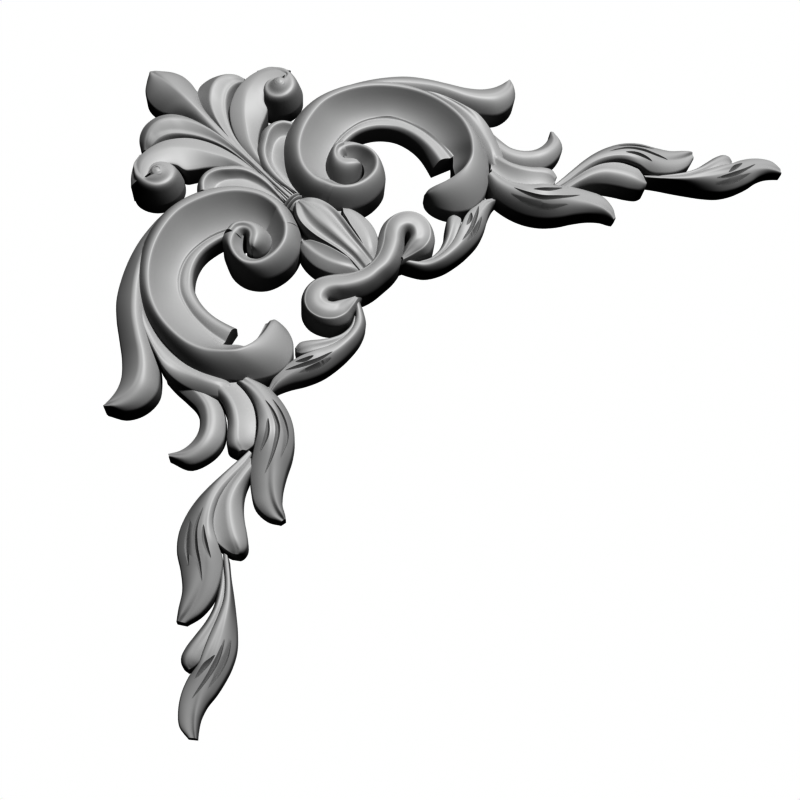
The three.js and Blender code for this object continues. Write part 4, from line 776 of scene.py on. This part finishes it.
def gouge(name, points, grid):
    """A tapered V cut along a plan line on the surface, running out at both ends.

    Its depth goes with the sine of half a turn over its length, raised to a power below 1.
    """
    line = [(x, y, 0) for x, y in points]
    steps = max(12, round(rail_length(line) / gouge_facet))
    shares = np.linspace(0, 1, steps + 1)
    place = rail(line, shares)
    place[:, 2] = height_on(grid, place)
    heading = np.gradient(place[:, :2], axis=0)
    heading /= np.linalg.norm(heading, axis=1)[:, None]
    side = np.column_stack([-heading[:, 1], heading[:, 0]])
    bite = np.clip(np.sin(math.pi * shares), 0, 1) ** gouge_fullness
    depth = gouge_depth * bite - gouge_lift * (1 - bite)
    spread = (gouge_width / 2 / gouge_depth * (gouge_clearance + depth))[:, None]
    bottom = np.column_stack([place[:, :2], place[:, 2] - depth])
    one = np.column_stack([place[:, :2] + side * spread, place[:, 2] + gouge_clearance])
    two = np.column_stack([place[:, :2] - side * spread, place[:, 2] + gouge_clearance])
    corners = np.stack([bottom, one, two], axis=1).reshape(-1, 3)
    i, j = np.meshgrid(np.arange(steps), np.arange(3), indexing="ij")
    here = (3 * i + j).ravel()
    beside = (3 * i + (j + 1) % 3).ravel()
    last = 3 * steps
    triangles = np.concatenate([
        np.column_stack([here, beside, beside + 3]),
        np.column_stack([here, beside + 3, here + 3]),
        [(0, 2, 1), (last, last + 1, last + 2)],
    ])
    return solid_object(name, corners, outward(corners, triangles))


def combined(base, others, operation):
    """The base with the other solids joined to it or cut from it. The others are used up."""
    for other in others:
        step = base.modifiers.new("step", "BOOLEAN")
        step.operation = operation
        step.solver = "MANIFOLD"
        step.object = other
    depsgraph = bpy.context.evaluated_depsgraph_get()
    mesh = bpy.data.meshes.new_from_object(base.evaluated_get(depsgraph))
    base.modifiers.clear()
    base.data = mesh
    for other in others:
        bpy.data.objects.remove(other)
    return base


# The right arm's forms


def bead():
    """The raised bead on the trough's foot, which swells towards its cut end."""
    foot = np.array(bead_line, dtype=float)
    inner = np.array(bead_inner, dtype=float)
    count = len(foot)
    fullness = np.maximum(0, (np.arange(count) - bead_swell_start) / (count - 1 - bead_swell_start))

    def lane(share, z):
        """The line at a share of the bead's width, at height z."""
        line = foot + (inner - foot) * share
        return np.column_stack([line, np.broadcast_to(z, count)])

    return form(
        "bead",
        [
            lane(-0.2, trough_floor - 0.3),
            lane(0, trough_floor - 0.1),
            lane(0.14, trough_floor - bead_dip),
            lane(0.6, trough_floor + 0.1 + fullness),
            lane(1, trough_floor - bead_fall - bead_end_fall * fullness),
        ],
        [0, 0, 0.2, 0.5],
        softness=[0, 0.2, 0.6, 1.2, 0],
        facets=[1, 2, 4, 4],
        edges=(False, True),
    )


def scroll():
    """The scroll: its rim and trough, the coil of the volute, the bead and the eye."""
    lines = ("outer", "crest", "foot")
    rim = form("rim", [scroll_rim[line] for line in lines], [1.5, -1.2], facets=[8, 6], edges=(True, False))
    coil = form("coil", [volute[line] for line in lines], [1.2, -0.3], facets=[8, 5], edges=(True, False))
    raised = bead()
    ball = form(
        "ball",
        [eye[line] for line in lines],
        eye["swells"],
        facets=[12, 5],
        length=eye_facet,
        edges=(False, False),
    )
    return [rim, coil, raised, ball]


def tendrils():
    """The hook tendril on the scroll's back, the sprout and its small hook."""
    lines = ("outer", "ridge", "inner")
    return [
        form("hook", [hook[line] for line in lines], [0.5, 1.4], facets=[5, 7]),
        form("sprout", [sprout[line] for line in lines], [0.5, 0.3]),
        form("small_hook", [small_hook[line] for line in lines], [0.2, 0.9]),
    ]


def leaf(name, shape):
    """A leaf's lobe and blade, with its gouges cut."""
    blade = shape["blade"]
    lobe = shape["lobe"]
    grid = form_grid([blade["upper"], blade["ridge"], blade["lower"]], blade["swells"], facets=[5, 7])
    body = solid_under(name, grid)
    side = form(name + "_lobe", [lobe["upper"], lobe["ridge"], lobe["lower"]], lobe["swells"])
    combined(body, [side], "UNION")
    cuts = [gouge(f"{name}_cut_{k}", line, grid) for k, line in enumerate(shape["cuts"])]
    return combined(body, cuts, "DIFFERENCE")


def crown_half():
    """The crown's side lobe, curl leaf with its bell, and cupped leaf."""
    lobe = form(
        "side_lobe",
        [side_lobe[key] for key in ("outer", "ridge", "shoulder", "inner")],
        side_lobe["swells"],
        softness=[0, crest_rounding, 2, 0],
        facets=[6, 4, 3],
        edges=(False, False),
    )
    curl = form(
        "curl_leaf",
        [curl_leaf[key] for key in ("left", "middle", "right")],
        curl_leaf["swells"],
        facets=[6, 6],
    )
    cup = form(
        "cupped_leaf",
        [cupped_leaf[key] for key in ("outer", "rim", "cup", "wall")],
        [0.6, -0.4, -0.3],
        facets=[4, 4, 4],
    )
    rolled = form(
        "bell",
        [bell[key] for key in ("foot", "edge", "top")],
        bell["swells"],
        softness=[0, 2.5, 0],
        facets=[10, 6],
        length=bell_facet,
        edges=(False, False),
    )
    rings = [(x, y, bell_radius * share, z) for x, y, share, z in bell_rings]
    dome = ring_stack("dome", rings[:1] + smooth_rings(rings[1:], dome_rings))
    return [lobe, curl, cup, rolled, dome]


def petal_half():
    """The palmette's side petal."""
    lines = [side_petal[key] for key in ("outer", "middle", "inner")]
    return form("side_petal", lines, side_petal["swells"])


# The forms on the diagonal


def across(along, half_width, middle_height, end_height):
    """Five points across the diagonal, on a parabola from the middle height down to the end height."""
    bow = middle_height - end_height
    return on_diagonal([(along, s * half_width, middle_height - bow * s * s) for s in np.linspace(-1, 1, 5)])


def crown():
    """The apex leaf and the low ground between the stems."""
    edge = on_diagonal(apex_leaf["edge"])
    ground = on_diagonal(crown_bed)
    return [
        form(
            "apex_leaf",
            [edge, on_diagonal(apex_leaf["ridge"]), mirrored(edge)],
            [0.9, 0.9],
            facets=[6, 6],
        ),
        form("crown_bed", [ground, mirrored(ground)], [0.3], facets=[4]),
    ]


def middle():
    """The palmette's centre petal and bed, the ram's-horn band, the neck and the collar."""
    edge, rim, dip = (on_diagonal(palmette[key]) for key in ("edge", "rim", "dip"))
    petal = form(
        "centre_petal",
        [edge, rim, dip, on_diagonal(palmette["middle"]), mirrored(dip), mirrored(rim), mirrored(edge)],
        palmette["swells"] + palmette["swells"][::-1],
        softness=[0, 1, 2.2, 3, 2.2, 1, 0],
        facets=[2, 3, 4, 4, 3, 2],
    )

    def whole(key):
        """The band's line over both arms, through its point on the diagonal."""
        return mirrored(band[key])[::-1] + on_diagonal([band_middle[key]]) + band[key]

    horn = form(
        "horn",
        [whole(key) for key in ("outer", "edge", "ridge", "inner")],
        band["swells"],
        softness=[0, 0.5, 2.4, 0],
        facets=[4, 5, 8],
    )
    half_bed = on_diagonal(petal_bed)
    bed = form("bed", [half_bed, mirrored(half_bed)], [0.5], facets=[4])
    neck = form(
        "neck",
        [across(86, 3.8, 9.8, 7.8), across(90, 3.4, 10.2, 8), across(94, 3.4, 10.4, 8)],
        [0, 0],
        facets=[2, 2],
    )
    bands = []
    for k in range(collar_count):
        start = 85.9 + k * collar_width
        bands.append(form(
            f"collar_{k}",
            [
                across(start, 4.3, 10.4, 8),
                across(start + collar_width / 2, 4.6, 11.6, 8.8),
                across(start + collar_width, 4.3, 10.4, 8),
            ],
            [0.1, 0.1],
            softness=[0, 0.4, 0],
            facets=[2, 2],
        ))
    return [petal, horn, bed, neck] + bands


# The whole carving


def whole_carving():
    """The right arm and its mirror image, joined with the forms on the diagonal.

    The left arm is the right one with plan coordinates exchanged and negated, which turns its faces over.
    """
    right = scroll() + tendrils() + [leaf(f"leaf_{k}", shape) for k, shape in enumerate(leaves)]
    right += [leaf("sprig", sprig)] + crown_half() + [petal_half()]
    carved = combined(right[0], right[1:], "UNION")
    left = carved.copy()
    left.data = carved.data.copy()
    left.data.transform(Matrix(((0, 0, -1, 0), (0, 1, 0, 0), (-1, 0, 0, 0), (0, 0, 0, 1))))
    left.data.flip_normals()
    bpy.context.collection.objects.link(left)
    combined(carved, [left] + crown() + middle(), "UNION")
    carved.name = "carving"
    carved.data.name = "carving"
    carved.data.shade_smooth()
    carved.data.set_sharp_from_angle(angle=math.radians(crease_angle))
    return carved


# Finishes


def grey_primer():
    """The sprayed primer: a neutral satin grey with a faint cloudiness."""
    darkest, lightest = 0.275, 0.285
    made = bpy.data.materials.new("carved_wood")
    made.use_nodes = True
    nodes = made.node_tree.nodes
    links = made.node_tree.links
    shader = nodes["Principled BSDF"]
    shader.inputs["Roughness"].default_value = 0.5
    shader.inputs["Specular IOR Level"].default_value = 0.25
    position = nodes.new("ShaderNodeTexCoord")
    cloud = nodes.new("ShaderNodeTexNoise")
    cloud.inputs["Scale"].default_value = 38
    cloud.inputs["Detail"].default_value = 3
    tone = nodes.new("ShaderNodeMapRange")
    tone.inputs["From Min"].default_value = 0.3
    tone.inputs["From Max"].default_value = 0.7
    tone.inputs["To Min"].default_value = darkest
    tone.inputs["To Max"].default_value = lightest
    grey = nodes.new("ShaderNodeCombineColor")
    links.new(position.outputs["Object"], cloud.inputs["Vector"])
    links.new(cloud.outputs[0], tone.inputs["Value"])
    for channel in ("Red", "Green", "Blue"):
        links.new(tone.outputs["Result"], grey.inputs[channel])
    links.new(grey.outputs["Color"], shader.inputs["Base Color"])
    return made


def matt_floor_paint():
    """The floor's even pale grey."""
    made = bpy.data.materials.new("pale_floor")
    made.use_nodes = True
    shader = made.node_tree.nodes["Principled BSDF"]
    shader.inputs["Base Color"].default_value = (0.8, 0.8, 0.8, 1)
    shader.inputs["Roughness"].default_value = 0.9
    return made


# Stage, light and camera, in metres


def level_floor(half_width, height):
    """A square floor at a height."""
    mesh = bpy.data.meshes.new("floor")
    corners = [(x * half_width, y * half_width, height) for x, y in ((-1, -1), (1, -1), (1, 1), (-1, 1))]
    mesh.from_pydata(corners, [], [(0, 1, 2, 3)])
    mesh.materials.append(matt_floor_paint())
    made = bpy.data.objects.new("floor", mesh)
    bpy.context.collection.objects.link(made)
    return made


def key_light(place, size, power, spread):
    """A square area light turned to the origin. Its spread is the full angle of its beam, in degrees."""
    lamp = bpy.data.lights.new("key", "AREA")
    lamp.size = size
    lamp.energy = power
    lamp.spread = math.radians(spread)
    made = bpy.data.objects.new("key", lamp)
    bpy.context.collection.objects.link(made)
    made.location = place
    x, y, z = place
    made.rotation_euler = (math.acos(z / math.hypot(x, y, z)), 0, math.atan2(y, x) + math.pi / 2)


def white_surroundings():
    """A world that the camera sees as white and that gives no light."""
    world = bpy.data.worlds.new("studio")
    world.use_nodes = True
    nodes = world.node_tree.nodes
    links = world.node_tree.links
    nodes.clear()
    seen = nodes.new("ShaderNodeBackground")
    seen.inputs["Color"].default_value = (1, 1, 1, 1)
    seen.inputs["Strength"].default_value = 1
    felt = nodes.new("ShaderNodeBackground")
    felt.inputs["Strength"].default_value = 0
    path = nodes.new("ShaderNodeLightPath")
    choice = nodes.new("ShaderNodeMixShader")
    output = nodes.new("ShaderNodeOutputWorld")
    links.new(path.outputs["Is Camera Ray"], choice.inputs["Fac"])
    links.new(felt.outputs[0], choice.inputs[1])
    links.new(seen.outputs[0], choice.inputs[2])
    links.new(choice.outputs[0], output.inputs["Surface"])
    return world


def turns(about_x, about_y, about_z):
    """The matrix that turns about z, then y, then x, by angles in degrees."""
    a, b, c = (math.radians(angle) for angle in (about_x, about_y, about_z))
    x_turn = np.array([(1, 0, 0), (0, math.cos(a), -math.sin(a)), (0, math.sin(a), math.cos(a))])
    y_turn = np.array([(math.cos(b), 0, math.sin(b)), (0, 1, 0), (-math.sin(b), 0, math.cos(b))])
    z_turn = np.array([(math.cos(c), -math.sin(c), 0), (math.sin(c), math.cos(c), 0), (0, 0, 1)])
    return x_turn @ y_turn @ z_turn


def photograph_camera(lens, to_camera, apex_seen):
    """A camera with the lens in millimetres, from how it sees the drawing.

    to_camera turns the drawing's axes to the camera's, and apex_seen is the apex in the camera's own axes, in
    millimetres. The eye is then at minus the transpose of to_camera times apex_seen, and is stood up as the
    carving is.
    """
    stand_up = np.array([(1, 0, 0), (0, 0, -1), (0, 1, 0)])
    eye_place = stand_up @ (-to_camera.T @ np.array(apex_seen)) + np.array((-mount_inset, 0, mount_inset))
    pose = np.eye(4)
    pose[:3, :3] = stand_up @ to_camera.T
    pose[:3, 3] = eye_place / 1000
    data = bpy.data.cameras.new("camera")
    data.lens = lens
    data.sensor_width = 36
    made = bpy.data.objects.new("camera", data)
    bpy.context.collection.objects.link(made)
    made.matrix_world = Matrix(pose.tolist())
    return made


carving = whole_carving()
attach(carving, "root")
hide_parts("corner_applique")
carving.data.materials.clear()
carving.data.materials.append(grey_primer())

floor = level_floor(half_width=4, height=-2.6)
key_light(place=(0.6, -2.3, 0.75), size=0.35, power=15.6, spread=60)

scene = bpy.context.scene
scene.world = white_surroundings()
scene.camera = photograph_camera(50, turns(-23.85, 4.55, 0.58), apex_seen=(-106.4, 135.4, -479.5))
scene.view_settings.view_transform = "Standard"
scene.view_settings.gamma = 0.5
